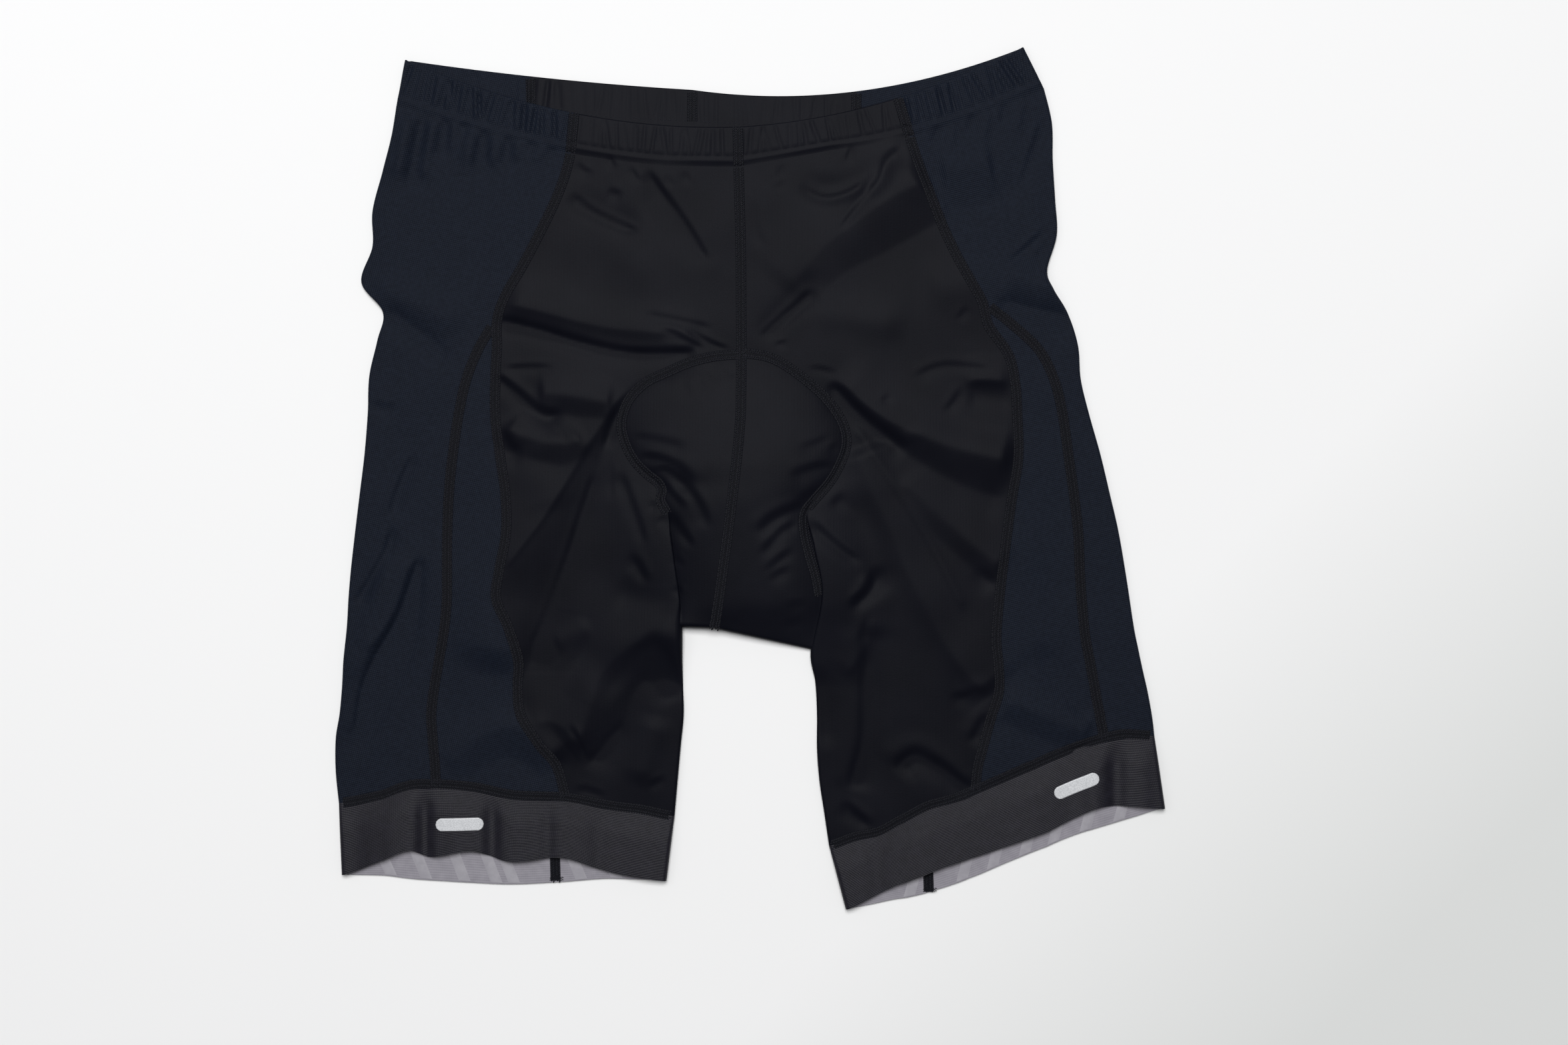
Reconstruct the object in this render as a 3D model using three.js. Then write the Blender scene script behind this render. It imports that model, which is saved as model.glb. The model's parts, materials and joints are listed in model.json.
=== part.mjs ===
// Cycling shorts laid flat, front side up, as cut and sewn pieces of cloth with a real wall.
// Millimetres. +X is to the right, +Y towards the waist, +Z up. The underside lies on Z = 0, and
// the origin is under the middle of the garment.
import * as THREE from "three";

// Driving dimensions
const CLOTH = 1.1; // wall of one layer of knit
const AIR = 0.35; // least gap between two layers that lie on each other
const FRONT_TOP = 3.7; // usual height of the front layer's outer face
const INSIDE_TOP = 3.2; // the front's inner face stays under this, because the seat pad fills the rest
const CASING_WALL = 1.9; // elastic in its turned casing
const CASING_TOP = 4.3; // height of the front casing's outer face
const SEAM_GAP = 0.3; // clear width of a seam between two pieces
const GATHER_PITCH = 8; // one gather of the casing
const GATHER_RISE = 0.45;
const GATHER_LEAN = 0.12; // sideways run of a gather along the casing's depth
const GATHER_DRIFT = 19; // over this length the gathers' spacing wanders
const GATHER_START = 0.15; // the gathers are flatter at the foot and the top edge of the casing
const ROW_STEP = 0.75; // rows of the mesh, in sections of the tables below
const JUNCTION = 6; // section where the thigh insert starts
const CROTCH = 15; // section where the legs part
const LAST = 21; // section at the seam of the leg gripper
const HEM_SECTIONS = 2; // over this many sections the rows bend to the gripper's seam
const FOLD_CELLS = 4; // cells round a fold
const INSEAM_START = 5; // distance from the inner fold to the inseam, at the crotch

// Sections of each half, from the foot of the casing down to the gripper. outer is the outer fold,
// insert and seam are the two seams on the front, fold is the fold inside the leg (above the crotch
// only a line on the panel), and bow is how far the section's middle stands above a straight line.
const SECTION_COLUMNS = ["outerX", "outerY", "insertX", "seamX", "foldX", "foldY", "bow"];
const SECTIONS = {
  left: [
    [-221, 233, -112, -112, -52, 195, -6],
    [-224, 214, -116, -116, -52, 179.5, -5],
    [-229.6, 192, -123, -123, -52, 161.5, -4],
    [-236, 167, -132.5, -132.5, -52, 143, -3],
    [-236, 145, -142.5, -142.5, -52, 124.5, -3],
    [-243, 122.5, -153, -153, -52, 107, -2],
    [-229.6, 104, -159.3, -158, -52, 91.5, -1],
    [-233, 86, -169, -158, -52, 76.5, -1],
    [-238, 64, -177, -159, -52, 57, 0],
    [-239, 40, -182, -159, -52, 36.5, 0],
    [-241, 15, -185.5, -156, -52, 13, 0],
    [-244, -10, -188, -152.5, -52, -10.5, 0],
    [-247, -35, -189, -152, -49, -35, 0],
    [-249.5, -57, -189, -156, -46, -57, 0],
    [-251, -75, -189, -158, -43.5, -75, 0],
    [-252, -93, -190.5, -150.5, -42, -93, 0],
    [-254, -113, -194, -144.5, -42, -114, 0],
    [-255, -130, -197, -145, -41.7, -131, 0],
    [-256.5, -147, -199, -143, -41.3, -148, 0],
    [-259, -163, -198, -132.5, -43, -166, 0],
    [-259, -183, -197, -121.5, -45, -188, 4],
    [-257, -203, -196, -115, -47, -211, 0],
  ],
  right: [
    [184, 243.6, 100, 100, 52, 205, -6.5],
    [189, 222, 106, 106, 52, 187, -6],
    [189.5, 199, 113, 113, 52, 168, -5],
    [191, 174, 121, 121, 52, 148, -4],
    [192, 152, 129.5, 129.5, 52, 129, -3],
    [186, 130, 139, 139, 52, 111, -2],
    [190, 118, 147, 145.5, 52, 97, -2],
    [199, 103, 163, 149.5, 52, 84, -2],
    [205.3, 83, 181, 161.5, 52, 66, -1],
    [207, 62, 190.5, 166, 52, 47, 0],
    [212, 41, 195.5, 167.2, 51, 28, 0],
    [219, 16, 199, 167.8, 46, 5, 0],
    [225, -9, 202.5, 163.8, 36, -20, 0],
    [230.5, -33, 205.2, 160.5, 40, -43, 0],
    [235.5, -62, 206.5, 156.8, 45, -73, 0],
    [240, -92, 209, 154, 38, -107.5, 0],
    [243, -107, 211.7, 155.3, 41, -128, 0],
    [246, -121, 214.5, 155.7, 42, -148, 0],
    [248.5, -132, 216.7, 150.8, 42, -169, 0],
    [250.5, -142.5, 219, 146.3, 43.5, -189, 0],
    [252, -152, 220.3, 142.5, 46.5, -209, 0],
    [253, -161, 221, 141, 49.5, -229.5, 0],
  ],
};

// The centre-front seam, one row for each section down to the crotch.
const CENTER_COLUMNS = ["x", "y"];
const CENTER = [
  [-7, 194.5],
  [-6.5, 178],
  [-6, 159],
  [-5.6, 141],
  [-5.4, 122],
  [-5.3, 105],
  [-5.2, 90],
  [-5.2, 75],
  [-5.3, 56],
  [-5.8, 36],
  [-7.8, 13],
  [-10.4, -10],
  [-13.5, -35],
  [-16.5, -57],
  [-19, -75],
  [-22, -94],
];

// Leg ends. share runs from the outer fold (0) to the inner fold (1): the gripper's seam, the front
// hem edge and the back hem edge.
const HEM_COLUMNS = ["share", "seamY", "frontY", "backY"];
const HEM = {
  left: [
    [0, -203, -248, -248],
    [0.13, -198, -238.5, -248.5],
    [0.21, -192, -232.5, -250.5],
    [0.27, -191, -236.5, -251.5],
    [0.4, -193, -233, -253],
    [0.52, -198, -239.5, -254],
    [0.68, -199.5, -237, -252.5],
    [0.81, -204.5, -245, -250.5],
    [0.9, -207, -249, -251],
    [1, -211, -251.5, -251.5],
  ],
  right: [
    [0, -161, -206.5, -206.5],
    [0.1, -160, -205, -212],
    [0.2, -165, -205.5, -218],
    [0.28, -171, -212, -223],
    [0.37, -179, -221, -230.5],
    [0.49, -189.5, -229.5, -240],
    [0.61, -199.5, -237.5, -250],
    [0.7, -205, -243.5, -256.5],
    [0.79, -214.5, -250.5, -261.5],
    [0.85, -221, -255, -263.5],
    [0.92, -224, -262, -266.5],
    [1, -229.5, -269.4, -269.4],
  ],
};

// What is measured once for each half: which way is outwards, the hem's corners, the two ends of the
// seam on the underside between side and back panel, the inseam at the hem, and the waist's edges.
const HALF = {
  left: {
    outwards: -1,
    hemOuterX: -255,
    hemInnerX: -52,
    backSeam: { waist: -137, hem: -172 },
    inseamAtHem: -122,
    corner: { x: -215.5, y: 261.5 },
    frontTopBow: -12,
    backTopBow: -2,
  },
  right: {
    outwards: 1,
    hemOuterX: 259.6,
    hemInnerX: 60,
    backSeam: { waist: 66.6, hem: 150 },
    inseamAtHem: 112,
    corner: { x: 171, y: 269.4 },
    frontTopBow: -10,
    backTopBow: -14,
  },
};
const FRONT_TOP_CENTER = { x: -7.5, y: 219.5 };
const BACK_TOP_CENTER = { x: -36, y: 243 };

// Outline of the seat pad as it shows through the front, and how far it lifts the cloth.
const PAD_COLUMNS = ["y", "leftX", "rightX", "rise", "lip"];
const PAD = [
  [79, -12, 0, 0, 0],
  [70, -42, 23, 3, 0],
  [60, -64.5, 37, 4.5, 0],
  [50, -75, 47.5, 5.5, 0],
  [38, -80, 56, 6.5, 0],
  [28, -80, 60, 7.5, 0],
  [18, -76, 60, 8.5, 0],
  [8, -70, 56, 9.5, 0.5],
  [-3, -58, 49.5, 10, 1.5],
  [-14, -55, 40, 10.5, 3],
  [-25, -51, 36, 10.5, 4.5],
  [-45, -47.5, 40, 10, 5.5],
  [-65, -45, 44.5, 9, 5.5],
  [-80, -43, 44, 6.5, 4.5],
  [-93, -42, 41, 3, 3],
  [-108, -42, 38, 1, 1.5],
  [-130, -42, 41, 0, 0],
];
const PAD_EDGE = 0.985; // share of the pad's half width where its cloth ends
const LIP_REACH = 30; // how far from the pad the leg's cloth takes to come down

// The largest folds of the front: ridges have a positive rise and troughs a negative one. bow is
// how far the middle of the fold stands to the left of a walk along it.
const FOLD_COLUMNS = ["x0", "y0", "x1", "y1", "bow", "width", "rise"];
const FOLDS = [
  [-154, 100, -35, 80, -8, 8, -1.1],
  [-150, 114, -40, 95, -8, 10, 1.6],
  [-165, 72, -92, 40, -7, 8, -0.9],
  [-59, 71, -155, -67, 3, 8, 1.8],
  [-88, 30, -150, -90, 2, 9, -0.8],
  [-83, 46, -144, -132, 8, 9, 1.6],
  [-104, -178, -72, -126, 0, 7, -1],
  [-126, -172, -95, -118, 0, 10, 1.6],
  [-70, -190, -52, -140, 0, 9, 1.4],
  [-209, -58, -250, -173, 8, 7, -1],
  [-225, -45, -252, -125, 4, 8, 1.1],
  [-230, 106, -189, 73, 0, 6, -1.1],
  [-236, 123, -178, 96, 0, 10, 1.9],
  [-188, -183, -134, -168, 18, 8, -0.9],
  [-113, 177, -69, 155, 0, 8, -0.8],
  [-66, 185, -25, 135, -4, 8, -0.9],
  [34, 184, 88, 202, -10, 8, -1],
  [114, 177, 44, 138, 4, 11, -1.1],
  [104, 192, 40, 158, 6, 9, 1.4],
  [42, 128, 7, 87, 0, 7, -0.8],
  [35, 68, 120, 9, -4, 8, -1.1],
  [60, 76, 140, 28, -2, 10, 1.5],
  [104, 56, 162, 58, 10, 8, -0.8],
  [73, 11, 151, -116, 4, 9, 1.9],
  [95, -53, 150, -136, 0, 8, -0.8],
  [73, -93, 64, -194, 4, 9, -1],
  [96, -169, 130, -188, 0, 8, -0.8],
  [158, -143, 208, -162, 0, 7, -0.9],
  [180, -107, 214, -151, 0, 7, -0.9],
  [186, 226, 153, 168, 4, 8, -1],
  [155, 110, 203, 95, 0, 7, -0.9],
];

// How each piece is meshed, in cells across it.
const CELLS = { side: 6, insert: 3, front: 8, strip: 3, sideUnder: 3, wrapUnder: 3, back: 5, backStrip: 3 };
const STEP_AT_FOLD = 0.05; // the column beside the overlap, as a share of the strip to the centre seam
const GATHER_CELLS = 4; // cells across one gather
const CASING_ROWS = 2;
const GRIPPER_ROWS = 2;
const GRIPPER_EDGE = 0.3; // the gripper stands this much prouder than the panels

// Tables and curves
const named = (columns) => (row) => Object.fromEntries(columns.map((name, i) => [name, row[i]]));
const sections = {
  left: SECTIONS.left.map(named(SECTION_COLUMNS)),
  right: SECTIONS.right.map(named(SECTION_COLUMNS)),
};
const center = CENTER.map(named(CENTER_COLUMNS));
const hems = { left: HEM.left.map(named(HEM_COLUMNS)), right: HEM.right.map(named(HEM_COLUMNS)) };
const pad = PAD.map(named(PAD_COLUMNS));
const folds = FOLDS.map(named(FOLD_COLUMNS));

const mix = THREE.MathUtils.lerp;
const clamp = THREE.MathUtils.clamp;
const smooth = THREE.MathUtils.smoothstep;

// A column of a table as a smooth curve through its rows.
function along(rows, column, v) {
  const i = clamp(Math.floor(v), 0, rows.length - 2);
  const t = v - i;
  const at = (k) => rows[clamp(k, 0, rows.length - 1)][column];
  const [a, b, c, d] = [at(i - 1), at(i), at(i + 1), at(i + 2)];
  const slopeB = (c - a) / 2;
  const slopeC = (d - b) / 2;
  const t2 = t * t;
  const t3 = t2 * t;
  return (
    (2 * t3 - 3 * t2 + 1) * b + (t3 - 2 * t2 + t) * slopeB + (3 * t2 - 2 * t3) * c + (t3 - t2) * slopeC
  );
}

// A column as straight stretches over another, rising or falling, column.
function lookUp(rows, key, column, value) {
  const rising = rows[1][key] > rows[0][key];
  const next = rows.findIndex((row) => (rising ? row[key] >= value : row[key] <= value));
  if (next === 0) return rows[0][column];
  if (next < 0) return rows[rows.length - 1][column];
  const [a, b] = [rows[next - 1], rows[next]];
  return mix(a[column], b[column], (value - a[key]) / (b[key] - a[key]));
}

// Height of the front layer
function foldRise(x, y) {
  let rise = 0;
  for (const fold of folds) {
    const length = Math.hypot(fold.x1 - fold.x0, fold.y1 - fold.y0);
    const ux = (fold.x1 - fold.x0) / length;
    const uy = (fold.y1 - fold.y0) / length;
    const t = ((x - fold.x0) * ux + (y - fold.y0) * uy) / length;
    const ends = smooth(t, -0.08, 0.2) * (1 - smooth(t, 0.8, 1.08));
    const inFold = clamp(t, 0, 1);
    const across = (y - fold.y0) * ux - (x - fold.x0) * uy - fold.bow * 4 * inFold * (1 - inFold);
    rise += fold.rise * ends * Math.exp(-((across / fold.width) ** 2));
  }
  return rise;
}

// The pad lifts the cloth inside its outline, and the legs' cloth lies over its edge as a lip.
function padRise(x, y) {
  if (y > pad[0].y || y < pad[pad.length - 1].y) return 0;
  const leftX = lookUp(pad, "y", "leftX", y);
  const rightX = lookUp(pad, "y", "rightX", y);
  const t = Math.abs((2 * x - leftX - rightX) / (rightX - leftX));
  if (t < PAD_EDGE) return lookUp(pad, "y", "rise", y) * Math.sqrt(1 - t ** 3);
  const beyond = Math.max(leftX - x, x - rightX, 0);
  return lookUp(pad, "y", "lip", y) * Math.exp(-((beyond / LIP_REACH) ** 2));
}

function frontHeight(x, y) {
  const padded = padRise(x, y);
  const free = 1 / (1 + padded); // folds fade out where the pad stretches the cloth
  return Math.max(FRONT_TOP + padded + free * foldRise(x, y), 2 * CLOTH + AIR);
}

// Stations: a pair of points, outside and inside the wall
const station = (x, y, outerZ, innerZ) => ({ outer: [x, y, outerZ], inner: [x, y, innerZ] });

function onFront(x, y) {
  const top = frontHeight(x, y);
  return station(x, y, top, Math.min(top - CLOTH, INSIDE_TOP));
}

const onBack = (x, y) => station(x, y, 0, CLOTH);

// A point of a section: share 0 is the outer fold and share 1 the fold inside the leg. The last
// section follows the gripper's seam.
function place(side, v, share) {
  const rows = sections[side];
  const x = mix(along(rows, "outerX", v), along(rows, "foldX", v), share);
  const bowed = along(rows, "bow", v) * 4 * share * (1 - share);
  const straight = mix(along(rows, "outerY", v), along(rows, "foldY", v), share) + bowed;
  const wanted = lookUp(hems[side], "share", "seamY", share);
  const last = rows[LAST];
  const seamShift = wanted - mix(last.outerY, last.foldY, share);
  return [x, straight + seamShift * smooth(v, LAST - HEM_SECTIONS, LAST)];
}

function shareOfX(side, v, x) {
  const outerX = along(sections[side], "outerX", v);
  return (x - outerX) / (along(sections[side], "foldX", v) - outerX);
}

const shareOf = (side, v, column) => shareOfX(side, v, along(sections[side], column, v));

const backSeamX = (side, v) => mix(HALF[side].backSeam.waist, HALF[side].backSeam.hem, v / LAST);

function inseamX(side, v) {
  const start = along(sections[side], "foldX", v) + HALF[side].outwards * INSEAM_START;
  return mix(start, HALF[side].inseamAtHem, smooth(v, CROTCH, LAST));
}

// The stations round a fold, from the front layer to the underside. edgeX is the fold's outermost
// point, outwards its direction, top the height of the front layer beside it, and yAt the line that
// the stations stay on, for an x and for the sine of the height.
function roundFold(edgeX, outwards, top, wall, yAt) {
  const radius = top / 2;
  const middle = edgeX - outwards * radius;
  const inside = radius - wall;
  return Array.from({ length: FOLD_CELLS + 1 }, (_, i) => {
    const angle = Math.PI / 2 - (Math.PI * i) / FOLD_CELLS;
    const [cos, sin] = [Math.cos(angle), Math.sin(angle)];
    const y = yAt(middle + outwards * radius * cos, sin);
    return {
      outer: [middle + outwards * radius * cos, y, radius + radius * sin],
      inner: [middle + outwards * inside * cos, y, radius + inside * sin],
    };
  });
}

// A share list with even cells between two shares.
const shares = (from, to, cells) => Array.from({ length: cells + 1 }, (_, i) => mix(from, to, i / cells));

function lowered(point, distance) {
  const shift = ([x, y, z]) => [x, y - distance, z];
  return { outer: shift(point.outer), inner: shift(point.inner) };
}

// A solid of cloth from faces between stations. Shared stations are found by their outer point, and
// each edge with one face beside it gets a wall from the outer to the inner surface.
class Cloth {
  constructor() {
    this.stations = [];
    this.byPlace = new Map();
    this.faces = [];
  }

  add(point) {
    const key = point.outer.concat(point.inner).map((n) => n.toFixed(4)).join();
    if (!this.byPlace.has(key)) {
      this.byPlace.set(key, this.stations.length);
      this.stations.push(point);
    }
    return this.byPlace.get(key);
  }

  // rows: lists of stations, all of one length. A closed grid joins its last column to its first.
  grid(rows, closed = false) {
    const ids = rows.map((row) => row.map((point) => this.add(point)));
    const columns = ids[0].length - (closed ? 0 : 1);
    for (let i = 0; i + 1 < ids.length; i++) {
      for (let j = 0; j < columns; j++) {
        const k = (j + 1) % ids[0].length;
        this.faces.push([ids[i][j], ids[i][k], ids[i + 1][k], ids[i + 1][j]]);
      }
    }
    return this;
  }

  geometry() {
    const edges = new Set();
    for (const face of this.faces) face.forEach((a, i) => edges.add(a + ">" + face[(i + 1) % 4]));
    const inner = this.stations.length;
    const index = [];
    const quad = (a, b, c, d) => index.push(a, b, c, a, c, d);
    for (const [a, b, c, d] of this.faces) {
      quad(a, b, c, d);
      quad(inner + d, inner + c, inner + b, inner + a);
    }
    for (const edge of edges) {
      const [a, b] = edge.split(">").map(Number);
      if (!edges.has(b + ">" + a)) quad(b, a, inner + a, inner + b);
    }
    const points = this.stations.map((s) => s.outer).concat(this.stations.map((s) => s.inner));
    const geometry = new THREE.BufferGeometry();
    geometry.setAttribute("position", new THREE.Float32BufferAttribute(points.flat(), 3));
    geometry.setIndex(signedVolume(points, index) < 0 ? index.reverse() : index);
    geometry.computeVertexNormals();
    return geometry;
  }
}

function signedVolume(points, index) {
  let volume = 0;
  for (let i = 0; i < index.length; i += 3) {
    const [a, b, c] = [0, 1, 2].map((k) => new THREE.Vector3(...points[index[i + k]]));
    volume += a.dot(b.cross(c)) / 6;
  }
  return volume;
}

// Rows of a panel: the values of v from one section to another, with half a seam gap at the ends of
// the garment's panels.
function rowsBetween(from, to) {
  const count = Math.round((to - from) / ROW_STEP);
  return shares(from, to, count);
}

const halfGap = (side) => (HALF[side].outwards * SEAM_GAP) / 2;
const endShift = (v) => (v === 0 ? -SEAM_GAP / 2 : v === LAST ? SEAM_GAP / 2 : 0);

// The flat front stations between two shares, with their ends moved by dx into the seam.
function frontRow(side, v, from, to, cells, dxFrom, dxTo) {
  return shares(from, to, cells).map((share, i) => {
    const [x, y] = place(side, v, share);
    const dx = i === 0 ? dxFrom : i === cells ? dxTo : 0;
    return onFront(x + dx, y + endShift(v));
  });
}

function underRow(side, v, from, to, cells, dxTo) {
  return shares(from, to, cells).map((share, i) => {
    const [x, y] = place(side, v, share);
    return onBack(x + (i === cells ? dxTo : 0), y + endShift(v));
  });
}

// A fold of a section and the share where the flat front meets it: end 0 is the outer fold, and
// end 1 the fold inside the leg.
function foldOf(side, v, end) {
  const [x, y] = place(side, v, end);
  const outwards = end === 0 ? HALF[side].outwards : -HALF[side].outwards;
  const top = Math.min(frontHeight(x, y), INSIDE_TOP + CLOTH);
  const yAt = (stationX) => place(side, v, shareOfX(side, v, stationX))[1] + endShift(v);
  const fold = roundFold(x, outwards, top, CLOTH, yAt);
  return { fold, top, share: shareOfX(side, v, x - (outwards * top) / 2) };
}

// Side panel: from the insert's seam outwards, round the outer fold, and in to the back seam.
function sidePanel(side) {
  const gap = halfGap(side);
  const rows = rowsBetween(0, LAST).map((v) => {
    const { fold, share } = foldOf(side, v, 0);
    const front = frontRow(side, v, shareOf(side, v, "insertX"), share, CELLS.side, gap, 0);
    const backSeam = shareOfX(side, v, backSeamX(side, v));
    const under = underRow(side, v, share, backSeam, CELLS.sideUnder, gap);
    return [...front.slice(0, -1), ...fold, ...under.slice(1)];
  });
  return new Cloth().grid(rows).geometry();
}

// Thigh insert: a wedge from the junction down to the gripper.
function thighInsert(side) {
  const gap = halfGap(side);
  const rows = rowsBetween(JUNCTION, LAST).map((v) => {
    const from = shareOf(side, v, "seamX");
    const to = shareOf(side, v, "insertX");
    return frontRow(side, v, from, to, CELLS.insert, gap, -gap);
  });
  return new Cloth().grid(rows).geometry();
}

// The strip of a front panel between the inner line and the centre-front seam, above the crotch.
function centerStrip(side, v) {
  const start = place(side, v, 1);
  const end = [along(center, "x", v) + halfGap(side), along(center, "y", v)];
  const steps = shares(STEP_AT_FOLD, 1, CELLS.strip);
  return steps.map((t) => onFront(mix(start[0], end[0], t), mix(start[1], end[1], t) + endShift(v)));
}

// Front panel: a strip beside the centre seam that ends at the crotch, the leg's front, and below
// the crotch the cloth that turns round the inner fold and ends at the inseam on the underside.
function frontPanel(side) {
  const gap = halfGap(side);
  const leg = (v) => {
    const { fold, share } = foldOf(side, v, 1);
    const end = v < CROTCH ? 1 : share;
    const row = frontRow(side, v, shareOf(side, v, "seamX"), end, CELLS.front, -gap, 0);
    return v < CROTCH ? row : [...row.slice(0, -1), fold[0]];
  };
  const upper = rowsBetween(0, CROTCH).map((v) => [...leg(v), ...centerStrip(side, v)]);
  const lower = rowsBetween(CROTCH, LAST).map((v) => {
    const { fold, share } = foldOf(side, v, 1);
    const inseam = shareOfX(side, v, inseamX(side, v));
    const under = underRow(side, v, share, inseam, CELLS.wrapUnder, -gap);
    const clear = v > CROTCH ? 0 : SEAM_GAP; // below the edge of the back panel at the crotch
    const turned = [...fold.slice(1), ...under.slice(1)].map((point) => lowered(point, clear));
    return [...leg(v), ...turned];
  });
  return new Cloth().grid(upper).grid(lower).geometry();
}

// Back panel: flat on the surface, from the side panel's seam to the centre back and the inseam.
function backPanel(side) {
  const gap = halfGap(side);
  const leg = (v) => {
    const from = shareOfX(side, v, backSeamX(side, v));
    const to = shareOfX(side, v, inseamX(side, v));
    return shares(from, to, CELLS.back).map((share, i) => {
      const [x, y] = place(side, v, share);
      const dx = i === 0 ? -gap : i === CELLS.back ? gap : 0;
      return onBack(x + dx, y + endShift(v));
    });
  };
  const strip = (v) => {
    const start = leg(v)[CELLS.back].outer;
    const end = [backCenterX(v) + gap, along(center, "y", v) + endShift(v)];
    const steps = shares(0, 1, CELLS.backStrip).slice(1);
    return steps.map((t) => onBack(mix(start[0], end[0], t), mix(start[1], end[1], t)));
  };
  const upper = rowsBetween(0, CROTCH).map((v) => [...leg(v), ...strip(v)]);
  return new Cloth().grid(upper).grid(rowsBetween(CROTCH, LAST).map(leg)).geometry();
}

const backCenterX = (v) => mix(BACK_TOP_CENTER.x, center[CROTCH].x, v / CROTCH);

// Waistband. A casing runs from its foot, just above the panels, to its top edge, and is drawn into
// gathers by the elastic.
function gather(x, y) {
  const phase = (2 * Math.PI * (x + GATHER_LEAN * y)) / GATHER_PITCH;
  return GATHER_RISE * Math.sin(phase + Math.sin(x / GATHER_DRIFT));
}

// How far across the foot of a half's casing an x lies, 0 at the outer fold and 1 at the centre.
function casingShareOfX(side, x) {
  const { outerX } = sections[side][0];
  return (x - outerX) / (center[0].x - outerX);
}

// A point of the front casing, t of the way from its foot to its top edge.
function casingPlace(side, t, share) {
  const half = HALF[side];
  const row = sections[side][0];
  const legShare = casingShareOfX(side, row.foldX);
  const strip = (share - legShare) / (1 - legShare);
  const onStrip = [mix(row.foldX, center[0].x, strip), mix(row.foldY, center[0].y, strip)];
  const foot = share <= legShare ? place(side, 0, share / legShare) : onStrip;
  const bowed = half.frontTopBow * 4 * share * (1 - share);
  const topX = mix(half.corner.x, FRONT_TOP_CENTER.x, share);
  const topY = mix(half.corner.y, FRONT_TOP_CENTER.y, share) + bowed;
  return [mix(foot[0], topX, t), mix(foot[1] + SEAM_GAP / 2, topY, t)];
}

function onCasing(side, t, share, dx) {
  const [x, y] = casingPlace(side, t, share);
  const height = CASING_TOP + gather(x, y) * Math.sin(Math.PI * mix(GATHER_START, 1 - GATHER_START, t));
  return station(x + dx, y, height, CASING_TOP - CASING_WALL);
}

const gatherCells = (fromX, toX) => Math.round(Math.abs(toX - fromX) / GATHER_PITCH) * GATHER_CELLS;

function waistbandFront(side) {
  const gap = halfGap(side);
  const { seamX } = sections[side][0];
  const cells = gatherCells(seamX, center[0].x);
  const rows = shares(0, 1, CASING_ROWS).map((t) =>
    shares(casingShareOfX(side, seamX), 1, cells).map((share, i) =>
      onCasing(side, t, share, i === 0 ? -gap : i === cells ? gap : 0),
    ),
  );
  return new Cloth().grid(rows).geometry();
}

// The top edge of the panels on the underside, from the outer fold to the centre back. The back
// casing's foot follows it.
function underTop(side) {
  const { share } = foldOf(side, 0, 0);
  const seamShare = shareOfX(side, 0, backSeamX(side, 0));
  const lineShare = shareOfX(side, 0, inseamX(side, 0));
  const list = [
    ...shares(share, seamShare, CELLS.sideUnder).map((at) => place(side, 0, at)),
    ...shares(seamShare, lineShare, CELLS.back).slice(1).map((at) => place(side, 0, at)),
    [BACK_TOP_CENTER.x, center[0].y],
  ];
  return list.map(([x, y]) => ({ x, y }));
}

// A station of the back casing at an x on the underside, t of the way from its foot to its top edge.
function casingBack(side, t, x, dx) {
  const half = HALF[side];
  const share = (x - half.corner.x) / (BACK_TOP_CENTER.x - half.corner.x);
  const bowed = half.backTopBow * 4 * share * (1 - share);
  const topY = mix(half.corner.y, BACK_TOP_CENTER.y, share) + bowed;
  const footY = lookUp(underTop(side), "x", "y", x) + SEAM_GAP / 2;
  return station(x + dx, mix(footY, topY, t), 0, CASING_WALL);
}

function waistbandSide(side) {
  const half = HALF[side];
  const gap = halfGap(side);
  const { seamX, outerX } = sections[side][0];
  const cells = gatherCells(seamX, outerX);
  const foldShare = casingShareOfX(side, outerX - (half.outwards * CASING_TOP) / 2);
  const rows = shares(0, 1, CASING_ROWS).map((t) => {
    const front = shares(casingShareOfX(side, seamX), foldShare, cells).map((share, i) =>
      onCasing(side, t, share, i === 0 ? gap : 0),
    );
    const [edgeX] = casingPlace(side, t, 0);
    const yAt = (x) => casingPlace(side, t, casingShareOfX(side, x - edgeX + outerX))[1];
    const fold = roundFold(edgeX, half.outwards, CASING_TOP, CASING_WALL, yAt);
    const under = underTop(side)
      .slice(1, CELLS.sideUnder + 1)
      .map(({ x }, i) => casingBack(side, t, x, i === CELLS.sideUnder - 1 ? gap : 0));
    return [...front.slice(0, -1), ...fold, ...under];
  });
  return new Cloth().grid(rows).geometry();
}

function waistbandBack(side) {
  const half = HALF[side];
  const gap = halfGap(side);
  const cells = gatherCells(half.backSeam.waist, BACK_TOP_CENTER.x) / 2;
  const rows = shares(0, 1, CASING_ROWS).map((t) =>
    shares(half.backSeam.waist, BACK_TOP_CENTER.x, cells).map((x, i) => {
      const isEnd = i === 0 || i === cells;
      const point = casingBack(side, t, x, i === 0 ? -gap : i === cells ? gap : 0);
      const wave = isEnd || t < 1 ? 0 : gather(x, point.outer[1]) / 2;
      return station(point.outer[0], point.outer[1], 0, CASING_WALL + wave);
    }),
  );
  return new Cloth().grid(rows).geometry();
}

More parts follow.
